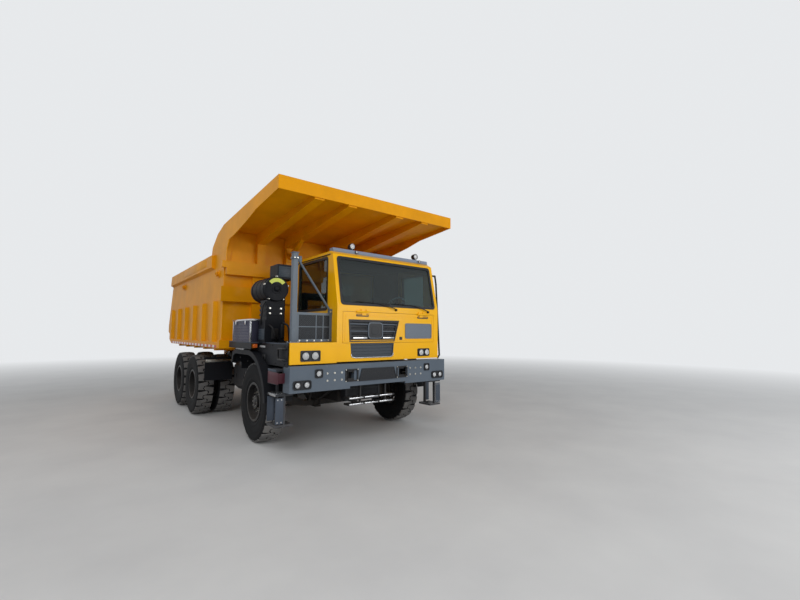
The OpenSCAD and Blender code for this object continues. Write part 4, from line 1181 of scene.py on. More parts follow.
@dataclass
class Windscreen:
    """Rubber gasket and wipers, drawn in the windscreen's own plane and leant back with it."""

    lean: float = math.atan2(0.190, 0.890)
    across: Span = (-0.698, 1.418)
    high: Span = (0.025, 0.865)

    def place(self) -> Matrix:
        """The move from the windscreen's plane to the row frame: X across, Y inwards, Z up the glass."""
        return Matrix.Translation(at(0.0, -1.4, 2.35)) @ Matrix.Rotation(-self.lean, 4, "X")

    def gasket(self) -> None:
        """Makes the rubber frame on the glass's edge."""
        (x0, x1), (z0, z1) = self.across, self.high
        outer = rounded_corners((x0 - 0.014, x1 + 0.014), (z0 - 0.014, z1 + 0.014), 0.06)
        inner = rounded_corners((x0 + 0.030, x1 - 0.030), (z0 + 0.032, z1 - 0.032), 0.045)
        shape = Shape("windscreen_gasket")
        shape.ring([Vector((x, -0.005, z)) for x, z in outer], [Vector((x, -0.005, z)) for x, z in inner], (0, 0.017, 0))
        shape.move(self.place())
        shape.done("chassis", GRILLE_BLACK)

    def wiper(self, shape: Shape, pivot: Span, elbow: Span, ends: tuple[Span, Span]) -> None:
        """Adds one wiper.

        Args:
            shape: the mesh.
            pivot: its spindle, across and up.
            elbow: where the arm holds the blade.
            ends: the blade's two ends.
        """
        px, pz = pivot
        shape.rod((px, 0.004, pz), (px, -0.022, pz), 0.022, 0.018, sides=18)
        shape.rod((px, -0.020, pz), (px, -0.034, pz), 0.014, 0.011, sides=14)
        arm = [(px, -0.026, pz), (px + (elbow[0] - px) * 0.25, -0.040, pz + (elbow[1] - pz) * 0.25), (elbow[0], -0.020, elbow[1])]
        shape.pipe(arm, 0.0085, 8, 0.08)
        (ax, az), (bx, bz) = ends
        rail = [(ax + (bx - ax) * t, -0.012 - 0.012 * math.sin(t * math.pi), az + (bz - az) * t) for t in (0, 0.15, 0.5, 0.85, 1)]
        shape.pipe(rail, 0.005, 8, 0.05)
        shape.plate([(ax, -0.010, az - 0.004), (bx, -0.010, bz - 0.004), (bx, -0.010, bz + 0.004), (ax, -0.010, az + 0.004)],
                    (0, 0.021, 0))
        for t in (0.2, 0.5, 0.8):
            x, z = ax + (bx - ax) * t, az + (bz - az) * t
            shape.box((x - 0.02, -0.026, z - 0.009), (x + 0.02, -0.004, z + 0.009), 0.003)

    def build(self) -> None:
        """Makes the gasket and both wipers."""
        self.gasket()
        shape = Shape("wipers")
        self.wiper(shape, (0.438, -0.036), (0.030, 0.070), ((-0.402, 0.080), (0.306, 0.052)))
        self.wiper(shape, (1.228, -0.048), (0.850, 0.068), ((0.393, 0.080), (0.994, 0.056)))
        shape.move(self.place())
        shape.done("chassis", TOW_BLACK)


@dataclass
class FrontFlapTrim:
    """Bead, slot handles, blank plate, grille slats and badge plate on the front flap."""

    face: float = -1.3995

    def plates(self) -> None:
        """Makes the bead, the handles and the blank plate."""
        bead = Shape("flap_bead")
        outer = rounded_corners((-0.632, 1.345), (1.765, 2.206), 0.02)
        bead.front_ring(outer, inset(outer, 0.010), self.face, 0.005)
        bead.done("flap", CAB_YELLOW)
        black = Shape("flap_handles")
        for x in ((-0.415, -0.160), (0.962, 1.235)):
            slot = rounded_corners(x, (2.176, 2.214), 0.017)
            black.front_plate(slot, self.face, 0.003)
            black.front_ring(slot, inset(slot, 0.009), self.face, 0.009)
        black.front_plate(rounded_corners((0.528, 0.588), (1.772, 1.828), 0.008), self.face, 0.006)
        black.slab((0.540, 0.576), (-1.412, -1.404), (1.790, 1.812), 0.003)
        black.done("flap", GRILLE_BLACK)
        covers = Shape("hinge_covers")
        for x0, x1 in ((-0.415, -0.160), (0.962, 1.235)):
            covers.rod(at(x0, *HINGE), at(x1, *HINGE), 0.0185, sides=24, edge=0.003)
        covers.done("flap", CAB_YELLOW)
        plate = Shape("blank_plate")
        outline = rounded_corners((0.660, 1.325), (1.795, 2.078), 0.03)
        plate.front_plate(outline, self.face, 0.005)
        plate.front_ring(outline, inset(outline, 0.012), self.face, 0.009)
        plate.done("flap", SLATE)

    def grille(self) -> None:
        """Makes the grille's frame, slats, strips and the bare badge plate."""
        dark = Shape("grille_slats")
        frame_in = [(0.497, 2.106), (-0.541, 2.106), (-0.522, 1.763), (0.392, 1.763)]
        frame_out = [(0.516, 2.122), (-0.560, 2.122), (-0.538, 1.746), (0.408, 1.746)]
        dark.front_ring(frame_out, frame_in, self.face, 0.009)
        for i in range(8):
            z = 1.790 + i * 0.040
            wide = 0.392 + (z - 1.763) * 0.30 - 0.01
            dark.plate([at(-0.525, -1.392, z), at(-0.525, -1.376, z + 0.018), at(-0.525, -1.374, z + 0.012),
                        at(-0.525, -1.390, z - 0.006)], (wide + 0.525, 0, 0))
        dark.slab((-0.54, 0.49), (-1.3735, -1.3705), (1.765, 2.105))
        dark.done("flap", GRILLE_BLACK)
        badge = Shape("badge_plate")
        outline = rounded_corners((-0.168, 0.140), (1.800, 2.076), 0.055)
        badge.front_plate(inset(outline, 0.006), -1.392, 0.016)
        middle = rounded_corners((-0.100, 0.072), (1.864, 2.012), 0.05)
        badge.front_plate(middle, -1.407, 0.006, 0.003)
        badge.done("flap", GRILLE_BLACK)
        lines = Shape("grille_lines")
        lines.front_ring(outline, inset(outline, 0.011), -1.392, 0.022)
        for z in (1.925, 2.045):
            wide = 0.392 + (z - 1.763) * 0.30 - 0.014
            lines.slab((-0.530, -0.170), (-1.404, -1.393), (z - 0.006, z + 0.006), 0.003)
            lines.slab((0.145, wide), (-1.404, -1.393), (z - 0.006, z + 0.006), 0.003)
        lines.done("flap", SLATE)
        bright = Shape("grille_strips")
        for x in ((-0.470, -0.182), (0.154, 0.412)):
            bright.slab(x, (-1.405, -1.394), (1.796, 1.822), 0.004)
        bright.done("flap", BRIGHT_METAL)

    def build(self) -> None:
        """Makes everything on the flap."""
        self.plates()
        self.grille()


@dataclass
class CabTrim:
    """Lower grille, head lamps, window gaskets, handles and gutters."""

    def lower_grille(self) -> None:
        """Fills the recess under the flap with a ribbed panel and its bright lower edge."""
        panel = Shape("lower_grille_panel")
        outline = [(0.396, 1.718), (-0.516, 1.718), (-0.497, 1.492), (-0.418, 1.473), (0.319, 1.473), (0.377, 1.492)]
        panel.front_plate(outline, -1.374, 0.014)
        panel.front_ring(outline, inset(outline, 0.014), -1.376, 0.027)
        for i, z in enumerate((1.545, 1.597, 1.649, 1.700)):
            half = 0.435 + 0.006 * i
            panel.slab((-0.06 - half, -0.06 + half), (-1.398, -1.386), (z - 0.016, z), 0.004)
        panel.done("chassis", TRIM_GREY)
        bright = Shape("lower_grille_edge")
        path = [(-0.505, 1.545), (-0.494, 1.494), (-0.416, 1.476), (0.317, 1.476), (0.374, 1.494), (0.384, 1.545)]
        bright.pipe([at(x, -1.404, z) for x, z in path], 0.009, 10, 0.06)
        bright.done("chassis", BRIGHT_METAL)

    def head_lamps(self) -> None:
        """Makes the bezels, rims and lenses of the head lamps."""
        black, glass = Shape("head_lamp_bezels"), Shape("head_lamp_lenses")
        black.front_plate(rounded_corners((0.966, 1.270), (1.462, 1.608), 0.02), -1.3995, 0.011, 0.003)
        black.front_plate(rounded_corners((-1.424, -1.086), (1.452, 1.618), 0.02), -1.4245, 0.0030)
        outer = rounded_corners((-1.424, -1.086), (1.452, 1.618), 0.02)
        black.front_ring(outer, inset(outer, 0.010), -1.4245, 0.011)
        for x, y, r in ((1.045, -1.4220, 0.058), (1.190, -1.4220, 0.058), (-1.335, -1.4275, 0.0617), (-1.175, -1.4275, 0.0617)):
            centre = at(x, 0.0, 1.535)
            rim = [(r - 0.004, y + 0.006), (r - 0.004, y - 0.008), (r + 0.003, y - 0.010), (r + 0.008, y - 0.004), (r + 0.008, y + 0.006)]
            black.turned(rim, centre, Along.Y, 36, closed=True)
            glass.lens((x, y - 0.0005, 1.535), r - 0.003, 0.22)
        black.done("chassis", GRILLE_BLACK)
        glass.done("chassis", LAMP_LENS, "lamp_lens")

    def gaskets(self) -> None:
        """Makes the rubber round the side, rear and door windows, with the roof's gutters."""
        shape = Shape("window_gaskets")
        shape.side_ring(rounded_corners((-1.065, 0.095), (2.275, 3.215), 0.06),
                        rounded_corners((-1.018, 0.048), (2.322, 3.168), 0.05), -0.786, 0.022)
        shape.front_ring(rounded_corners((-0.295, 1.015), (2.415, 3.165), 0.06),
                         rounded_corners((-0.248, 0.968), (2.462, 3.118), 0.05), 0.206, 0.022)
        for x in (-0.786, 1.506):
            shape.pipe([at(x, -1.14, 3.236), at(x, 0.10, 3.236), at(x, 0.17, 3.20)], 0.010, 8, 0.05)
        shape.done("chassis", GRILLE_BLACK)
        door = Shape("door_gasket")
        door.side_ring(rounded_corners((-1.045, -0.295), (2.275, 3.124), 0.06),
                       rounded_corners((-0.998, -0.342), (2.322, 3.077), 0.05), 1.484, 0.022)
        handle = rounded_corners((-0.400, -0.262), (2.085, 2.165), 0.02)
        door.side_ring(handle, inset(handle, 0.012), 1.4995, 0.010)
        door.pipe([at(1.498, -0.385, 2.135), at(1.525, -0.385, 2.135), at(1.525, -0.277, 2.135), at(1.498, -0.277, 2.135)], 0.009, 8, 0.02)
        door.done("door", GRILLE_BLACK)

    def build(self) -> None:
        """Makes all the trim on the cab."""
        self.lower_grille()
        self.head_lamps()
        self.gaskets()


def pad(shape: Shape, half: Sequence[float], crown: float, channels: Sequence[float], place: Matrix) -> None:
    """Adds a stuffed pad: a closed crowned form whose sides pull in, with sewn channels along it.

    Args:
        shape: the mesh.
        half: half its size along each axis; the third is its thickness.
        crown: how far its faces bulge.
        channels: places of the sewn lines across it, from -1 to 1.
        place: its place in the row frame.
    """
    part = Shape("pad")
    cube = bmesh.ops.create_cube(part.bm, size=2.0)["verts"]
    edges = list({e for v in cube for e in v.link_edges})
    bmesh.ops.subdivide_edges(part.bm, edges=edges, cuts=11, use_grid_fill=True)
    for v in part.bm.verts:
        u, w, t = v.co
        flat = max(0.0, 1 - u ** 4) * max(0.0, 1 - w ** 4)
        pull = 1 - 0.05 * (1 - u * u) * (1 if abs(w) > 0.99 else 0) - 0.04 * abs(t) ** 3
        pull_side = 1 - 0.05 * (1 - w * w) * (1 if abs(u) > 0.99 else 0) - 0.04 * abs(t) ** 3
        seam = sum(math.exp(-((u - c) / 0.05) ** 2) for c in channels)
        border = math.exp(-((max(abs(u), abs(w)) - 0.80) / 0.035) ** 2)
        rise = half[2] * t + crown * flat * t - 0.010 * t * (seam * flat + border) * (abs(t) > 0.9)
        v.co = (half[0] * u * pull_side, half[1] * w * pull, rise)
    part.move(place)
    shape.take(part)


@dataclass
class CabInside:
    """Dark lining of the cab and the padded seats."""

    seats_x: Span = (0.12, 0.92)

    def lining(self) -> None:
        """Makes the lining of the roof, walls and floor and of the door."""
        shape = Shape("cab_lining")
        spans = (
            ((-0.718, 1.438), (-1.08, 0.120), (3.224, 3.238)),
            ((-0.718, -0.290), (0.122, 0.138), (1.482, 3.224)), ((1.010, 1.438), (0.122, 0.138), (1.482, 3.224)),
            ((-0.290, 1.010), (0.122, 0.138), (1.482, 2.420)), ((-0.290, 1.010), (0.122, 0.138), (3.160, 3.224)),
            ((-0.718, -0.706), (-1.320, 0.122), (1.482, 2.280)), ((-0.718, -0.706), (-1.100, 0.122), (3.210, 3.224)),
            ((-0.718, -0.706), (-1.120, -1.060), (2.280, 3.210)), ((-0.718, -0.706), (0.090, 0.122), (2.280, 3.210)),
            ((1.426, 1.438), (-0.205, 0.122), (1.482, 3.224)), ((-0.718, 1.438), (-1.330, 0.120), (1.4805, 1.492)),
            ((-0.700, 1.420), (-1.130, -1.080), (3.180, 3.224)),
        )
        for x, y, z in spans:
            shape.slab(x, y, z)
        shape.done("chassis", LINING)
        door = Shape("door_lining")
        door.slab((1.427, 1.4395), (-1.112, -0.228), (1.540, 2.284), 0.003)
        door.slab((1.370, 1.430), (-0.900, -0.420), (2.020, 2.070), 0.015)
        door.done("door", LINING)

    def seats(self) -> None:
        """Makes the cushions, backs and head rests, with the rigid parts that carry them."""
        lean = Matrix.Rotation(math.radians(-10), 4, "X")
        up = Matrix.Rotation(math.radians(90), 4, "X")
        cushions, backs, heads, rigid = (Shape(n) for n in ("seat_cushions", "seat_backs", "head_rests", "seat_frames"))
        for x in self.seats_x:
            pad(cushions, (0.235, 0.225, 0.050), 0.016, (-0.45, 0.45), Matrix.Translation(at(x, -0.48, 1.845)))
            foot = Matrix.Translation(at(x, -0.26, 1.86)) @ lean
            pad(backs, (0.225, 0.295, 0.042), 0.014, (-0.42, 0.42), foot @ Matrix.Translation((0, 0, 0.315)) @ up)
            pad(heads, (0.120, 0.075, 0.034), 0.010, (), foot @ Matrix.Translation((0, 0, 0.720)) @ up)
            rigid.slab((x - 0.13, x + 0.13), (-0.60, -0.36), (1.482, 1.560), 0.01)
            for i in range(5):
                z = 1.56 + i * 0.042
                rigid.slab((x - 0.115 + 0.008 * (i % 2), x + 0.115 - 0.008 * (i % 2)), (-0.585, -0.375), (z - 0.002, z + 0.042), 0.01)
            rigid.slab((x - 0.22, x + 0.22), (-0.68, -0.27), (1.768, 1.800), 0.01)
            back = Shape("back")
            back.box((-0.215, 0.020, 0.0), (0.215, 0.050, 0.60), 0.012)
            for s in (-0.065, 0.065):
                back.rod((s, 0.0, 0.58), (s, 0.0, 0.68), 0.007, sides=10)
            back.move(foot)
            rigid.take(back)
        for shape in (cushions, backs, heads):
            piece = shape.done("chassis", SEAT_CLOTH, "seat_cloth", 60.0)
            smooth = piece.modifiers.new("soft_surface", "SUBSURF")
            smooth.levels = smooth.render_levels = 1
            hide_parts("seats")
        frames = rigid.done("chassis", LINING)
        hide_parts("seats")

    def build(self) -> None:
        """Makes the lining and the seats."""
        self.lining()
        self.seats()


@dataclass
class RoofLamps:
    """Round lamps on the bar over the windscreen."""

    def build(self) -> None:
        """Makes the housings, rims and lenses."""
        black, glass = Shape("roof_lamp_housings"), Shape("roof_lamp_lenses")
        for x in (-0.32, 1.18):
            centre = at(x, 0.0, 3.4403)
            black.turned([(0.0, -0.985), (0.030, -0.990), (0.048, -1.012), (0.055, -1.040), (0.055, -1.090), (0.058, -1.098),
                          (0.052, -1.106), (0.048, -1.096), (0.0, -1.0955)], centre, Along.Y, 32)
            glass.lens((x, -1.0965, 3.4403), 0.048, 0.28)
            black.slab((x - 0.045, x + 0.045), (-1.075, -1.035), (3.370, 3.382), 0.003)
            black.bolt(at(x - 0.03, -1.055, 3.382), (0, 0, 1), 0.007)
            black.bolt(at(x + 0.03, -1.055, 3.382), (0, 0, 1), 0.007)
            small = at(x + 0.07, 0.0, 3.3403)
            black.turned([(0.022, -1.120), (0.028, -1.120), (0.028, -1.138), (0.022, -1.138)], small, Along.Y, 24, closed=True)
            glass.lens((x + 0.07, -1.1350, 3.3403), 0.0225, 0.3)
        black.done("chassis", GRILLE_BLACK)
        glass.done("chassis", LAMP_LENS, "lamp_lens")


@dataclass
class BumperTrim:
    """Lamp bezels, bolts, centre plate and frames of the towing openings."""

    face: float = -1.4738

    def lamps(self) -> None:
        """Makes the lamps' bezels and lenses."""
        black, glass = Shape("bumper_lamp_bezels"), Shape("bumper_lamp_lenses")
        for side in Side:
            s = side.value
            pair = [(s * x, z) for x, z in rounded_corners((1.255, 1.555), (1.036, 1.174), 0.035)]
            single = [(s * x, z) for x, z in rounded_corners((1.062, 1.198), (1.194, 1.330), 0.022)]
            for outline in (pair, single):
                black.front_plate(outline, self.face, 0.004)
                black.front_ring(outline, inset(outline, 0.012), self.face, 0.013)
            for x, z in ((1.330, 1.105), (1.480, 1.105), (1.130, 1.262)):
                rim = [(0.043, self.face), (0.043, self.face - 0.018), (0.050, self.face - 0.018), (0.056, self.face - 0.006),
                       (0.056, self.face)]
                black.turned(rim, at(s * x, 0.0, z), Along.Y, 32, closed=True)
                glass.lens((s * x, self.face - 0.005, z), 0.044, 0.3)
        black.done("chassis", GRILLE_BLACK)
        glass.done("chassis", LAMP_LENS, "lamp_lens")

    def plates(self) -> None:
        """Makes the centre plate, the frames of the openings and the bolts."""
        dark = Shape("bumper_centre_plate")
        outline = [(0.345, 1.303), (-0.335, 1.303), (-0.398, 1.095), (0.405, 1.095)]
        dark.front_plate(outline, self.face, 0.007, 0.002)
        dark.front_ring(outline, inset(outline, 0.016), self.face, 0.014)
        for row in range(6):
            z = 1.128 + row * 0.029
            half = 0.385 - (z - 1.095) * 0.30 - 0.03
            count = int(2 * half / 0.034)
            for i in range(count + 1):
                x = 0.003 - half + i * 2 * half / count + (0.012 if row % 2 else -0.005)
                dark.rod(at(x, self.face - 0.006, z), at(x, self.face - 0.0105, z), 0.0115, 0.0100, sides=6)
        dark.done("chassis", GRILLE_BLACK)
        frames, bolts = Shape("towing_frames"), Shape("bumper_bolts")
        for side in Side:
            s = side.value
            outer = [(s * x, z) for x, z in rounded_corners((0.404, 0.656), (1.100, 1.305), 0.02)]
            inner = [(s * x, z) for x, z in rounded_corners((0.427, 0.633), (1.122, 1.283), 0.01)]
            frames.front_ring(outer, inner, self.face, 0.009)
            for x in (0.417, 0.643):
                for z in (1.112, 1.294):
                    bolts.bolt(at(s * x, self.face - 0.008, z), (0, -1, 0), 0.008)
            for x in (0.720, 0.850, 0.980):
                for z in (1.257, 1.144):
                    bolts.bolt(at(s * x, self.face, z), (0, -1, 0), 0.013)
        frames.done("chassis", TOW_BLACK)
        bolts.done("chassis", ZINC)

    def build(self) -> None:
        """Makes all the trim on the bumper."""
        self.lamps()
        self.plates()


@dataclass
class StepTrim:
    """Bright strips, panels and hanging plates of the steps."""

    ends: Span = (-1.236, -0.912)

    def build(self) -> None:
        """Makes the trim of both side steps and of the step under the bumper."""
        bright = Shape("step_strips")
        for z in (0.715, 0.815):
            for x in (-0.545, -0.240, 0.065):
                bright.slab((x, x + 0.275), (-1.4385, -1.4335), (z - 0.011, z + 0.011), 0.002)
        bright.done("chassis", BRIGHT_METAL)
        strips, panels, plates = Shape("side_step_strips"), Shape("side_step_panels"), Shape("side_step_plates")
        y = self.ends
        strips.slab((1.7165, 1.7235), y, (0.931, 0.964), 0.002)
        for x in (1.502, 1.560, 1.618, 1.676):
            strips.slab((x, x + 0.024), (y[0] + 0.004, y[1] - 0.004), (0.9645, 0.9690), 0.001)
        panels.slab((1.7195, 1.7225), (-1.326, y[1] - 0.002), (1.118, 1.292), 0.001)
        panels.slab((1.500, 1.7205), (-1.300, -1.294), (1.130, 1.280), 0.001)
        plates.slab((1.7165, 1.7240), y, (1.299, 1.3345), 0.002)
        for low, high in ((-1.2435, -1.2385), (-0.9100, -0.9050)):
            plates.slab((1.592, 1.718), (low, high), (0.520, 0.905), 0.002)
        for z in (0.880, 0.545):
            for x in (1.625, 1.685):
                strips.bolt(at(x, -1.2435, z), (0, -1, 0), 0.009)
        for shape, finish in ((strips, BRIGHT_METAL), (panels, MAROON), (plates, PALE_PLATE)):
            shape.mirrored()
            shape.done("chassis", finish)


@dataclass
class DeckTrim:
    """Tread plate, edge strips, handle and marker lamps of the deck beside the cab."""

    def tread(self) -> None:
        """Makes the raised lozenges on the battery box and the deck."""
        box = Shape("battery_box_pattern")
        box.lozenges((-1.787, -0.2301, 1.738), (0.395, 0, 0), (0, 0, 0.355))
        box.lozenges((-1.7901, 0.715, 1.738), (0, -0.94, 0), (0, 0, 0.355))
        box.lozenges((-1.795, -0.235, 2.1251), (0.41, 0, 0), (0, 0.96, 0))
        box.done("chassis", TREAD_PLATE)
        deck = Shape("deck_pattern")
        deck.lozenges((-1.612, -1.392, 1.7301), (0.805, 0, 0), (0, 2.36, 0), 0.06)
        deck.done("chassis", CHASSIS_BLACK)

    def edges(self) -> None:
        """Makes the bright corner strips and the pale line along the deck."""
        bright = Shape("battery_box_edges")
        for x, y in (((-1.7955, -1.7650), (-0.2355, -0.2295)), ((-1.7955, -1.7895), (-0.2355, -0.205)),
                     ((-1.415, -1.3845), (-0.2355, -0.2295)), ((-1.7955, -1.7895), (0.700, 0.7255))):
            bright.slab(x, y, (1.733, 2.092), 0.002)
        bright.slab((-1.8035, -1.3765), (-0.2445, -0.2395), (2.096, 2.126), 0.002)
        bright.slab((-1.8045, -1.7995), (-0.2445, 0.7345), (2.096, 2.126), 0.002)
        for y in (-0.02, 0.50):
            bright.slab((-1.8095, -1.7900), (y, y + 0.05), (2.030, 2.100), 0.004)
        bright.done("chassis", BRIGHT_METAL)
        pale = Shape("deck_edge")
        pale.slab((-1.6245, -1.6195), (-1.399, -0.262), (1.716, 1.7315), 0.001)
        pale.slab((-1.7845, -1.7795), (-0.262, 0.978), (1.716, 1.7315), 0.001)
        pale.slab((-1.7845, -1.6195), (-0.2645, -0.2595), (1.716, 1.7315), 0.001)
        pale.done("chassis", PALE_PLATE)

    def build(self) -> None:
        """Makes the pattern, the strips and the small fittings."""
        self.tread()
        self.edges()
        handle = Shape("deck_handle")
        points = [(-1.615, -1.365, 1.648), (-1.668, -1.365, 1.648), (-1.668, -1.150, 1.648), (-1.668, -1.150, 1.480),
                  (-1.668, -1.365, 1.480), (-1.615, -1.365, 1.480)]
        handle.pipe([at(*p) for p in points], 0.017, 12, 0.045)
        handle.slab((-1.636, -1.619), (-0.545, -0.395), (1.440, 1.530), 0.004)
        handle.rod(at(-1.648, -0.47, 1.485), at(-1.634, -0.47, 1.485), 0.022, sides=16)
        for y, z in ((-1.30, 1.41), (-0.95, 1.41), (-0.60, 1.41), (-0.30, 1.60), (-1.30, 1.69), (-0.80, 1.69)):
            handle.bolt(at(-1.620, y, z), (-1, 0, 0), 0.010)
        handle.done("chassis", TOW_BLACK)
        amber, white = Shape("marker_lamp"), Shape("side_marker_lamp")
        amber.slab((-1.752, -1.676), (-0.283, -0.259), (1.632, 1.698), 0.010, 3)
        amber.done("chassis", AMBER_LENS)
        white.slab((-1.640, -1.619), (-0.505, -0.285), (1.642, 1.678), 0.009, 3)
        white.done("chassis", LAMP_LENS)
        horn = Shape("air_reservoir")
        profile = [(0.0, 0.20), (0.040, 0.205), (0.056, 0.225), (0.060, 0.26), (0.060, 0.60), (0.056, 0.635), (0.040, 0.655), (0.0, 0.66)]
        horn.turned(profile, at(-1.705, 0.0, 1.622), Along.Y, 28)
        for y in (0.30, 0.55):
            horn.turned([(0.059, y), (0.064, y), (0.064, y + 0.03), (0.059, y + 0.03)], at(-1.705, 0.0, 1.622), Along.Y, 28, closed=True)
            horn.slab((-1.720, -1.690), (y, y + 0.03), (1.680, 1.701))
        horn.done("chassis", BRIGHT_METAL)


@dataclass
class AirCleanerTrim:
    """Cover, clamps, bolts and hoses of the air cleaner."""

    axis_x: float = -1.5
    axis_z: float = 2.63

    def sector(self) -> None:
        """Makes the pale green sector on the cover."""
        shape = Shape("cover_sector")
        turns = [math.radians(-50 + i * 10) for i in range(11)]
        arc = [(self.axis_x + 0.184 * math.sin(t), self.axis_z + 0.184 * math.cos(t)) for t in turns]
        arc += [(self.axis_x + 0.118 * math.sin(t), self.axis_z + 0.118 * math.cos(t)) for t in reversed(turns)]
        shape.front_plate(arc, -0.6215, 0.003)
        shape.done("chassis", SIGNAL_GREEN)

    def build(self) -> None:
        """Makes the cover's rings and clamps and what hangs under the drum."""
        self.sector()
        centre = at(self.axis_x, 0.0, self.axis_z)
        black = Shape("air_cleaner_cover")
        black.turned([(0.186, -0.618), (0.186, -0.630), (0.199, -0.630), (0.206, -0.618), (0.206, -0.596), (0.196, -0.596)],
                     centre, Along.Y, 56, closed=True)
        black.turned([(0.070, -0.620), (0.070, -0.632), (0.084, -0.632), (0.088, -0.620)], centre, Along.Y, 40, closed=True)
        black.lens((self.axis_x, -0.6445, self.axis_z), 0.046, 0.5)
        for y in (-0.40, -0.22):
            black.turned([(0.205, y), (0.2125, y + 0.005), (0.2125, y + 0.020), (0.205, y + 0.025)], centre, Along.Y, 56, closed=True)
        black.done("chassis", GUARD_RUBBER)
        clamps = Shape("air_cleaner_clamps")
        clamps.slab((self.axis_x - 0.014, self.axis_x + 0.014), (-0.618, -0.560), (self.axis_z + 0.205, self.axis_z + 0.224), 0.004)
        clamps.around(5, centre, Along.Y)
        for x, z in ((-1.585, 2.300), (-1.395, 2.300), (-1.585, 2.215), (-1.395, 2.215)):
            clamps.bolt(at(x, -0.560, z), (0, -1, 0), 0.014)
        clamps.done("chassis", ZINC)
        hoses = Shape("air_cleaner_hoses")
        hoses.pipe([at(-1.36, -0.57, 2.06), at(-1.30, -0.66, 2.02), at(-1.28, -0.66, 1.86), at(-1.20, -0.50, 1.735)], 0.018, 10, 0.06)
        hoses.pipe([at(-1.60, -0.57, 2.02), at(-1.57, -0.66, 1.98), at(-1.52, -0.66, 1.84), at(-1.46, -0.56, 1.735)], 0.014, 10, 0.06)
        hoses.pipe([at(-1.60, -0.48, 2.46), at(-1.68, -0.50, 2.36), at(-1.69, -0.44, 2.10), at(-1.66, -0.36, 2.02)], 0.012, 10, 0.05)
        hoses.slab((-1.56, -1.44), (-0.600, -0.560), (1.780, 1.960), 0.01)
        hoses.slab((-1.40, -1.33), (-0.590, -0.560), (1.800, 2.040), 0.01)
        hoses.done("chassis", HOSE)
        face = Shape("intake_face")
        face.slab((-1.470, -1.212), (-0.607, -0.599), (2.842, 3.028), 0.008)
        for i in range(5):
            face.slab((-1.455, -1.227), (-0.613, -0.606), (2.862 + i * 0.034, 2.876 + i * 0.034), 0.003)
        face.slab((-1.668, -1.659), (-0.540, -0.285), (1.775, 1.955), 0.004)
        for i in range(5):
            for j in range(4):
                face.rod(at(-1.668, -0.515 + i * 0.05, 1.80 + j * 0.043), at(-1.672, -0.515 + i * 0.05, 1.80 + j * 0.043), 0.013, sides=10)
        face.done("chassis", TRIM_GREY)


@dataclass
class GuardTrim:
    """Wire mesh, bolts and post fittings of the guard beside the cab."""

    field_x: Span = (-1.371, -0.824)
    field_z: Span = (1.789, 2.181)

    def mesh(self) -> None:
        """Makes the crossing wires in the guard's frame."""
        shape = Shape("guard_mesh")
        (x0, x1), (z0, z1) = self.field_x, self.field_z
        wide, high, pitch = x1 - x0, z1 - z0, 0.034
        for way in (1, -1):
            for k in range(1, int((wide + high) / pitch)):
                c = k * pitch
                start, end = (max(0.0, c - high), min(high, c)), (min(wide, c), max(0.0, c - wide))
                (ax, az), (bx, bz) = start, end
                if way < 0:
                    ax, bx = wide - ax, wide - bx
                y = -1.2135 - 0.0015 * way
                shape.rod(at(x0 + ax, y, z0 + az), at(x0 + bx, y, z0 + bz), 0.0022, sides=5)
        shape.done("chassis", MESH_BLACK)
        back = Shape("guard_backing")
        back.slab(self.field_x, (-1.2119, -1.2081), self.field_z)
        back.done("chassis", GRILLE_BLACK)

    def build(self) -> None:
        """Makes the mesh and the fittings."""
        self.mesh()
        shape = Shape("post_fittings")
        shape.slab((-1.508, -1.402), (-1.263, -1.157), (3.158, 3.172), 0.003)
        shape.slab((-1.507, -1.403), (-1.262, -1.158), (3.060, 3.095), 0.003)
        shape.slab((-1.530, -1.380), (-1.285, -1.135), (1.7302, 1.746), 0.003)
        shape.slab((-1.400, -1.340), (-1.222, -1.198), (3.020, 3.120), 0.006)
        shape.done("chassis", POST_GREY)
        bolts = Shape("guard_bolts")
        for i in range(5):
            bolts.bolt(at(-1.352 + i * 0.128, -1.2250, 1.770), (0, -1, 0), 0.010)
        for x in (-1.515, -1.395):
            for y in (-1.270, -1.150):
                bolts.bolt(at(x, y, 1.746), (0, 0, 1), 0.010)
        for x in (-1.48, -1.43):
            bolts.bolt(at(x, -1.262, 3.078), (0, -1, 0), 0.009)
        bolts.bolt(at(-0.81, -1.235, 2.245), (0, -1, 0), 0.012)
        bolts.done("chassis", ZINC)


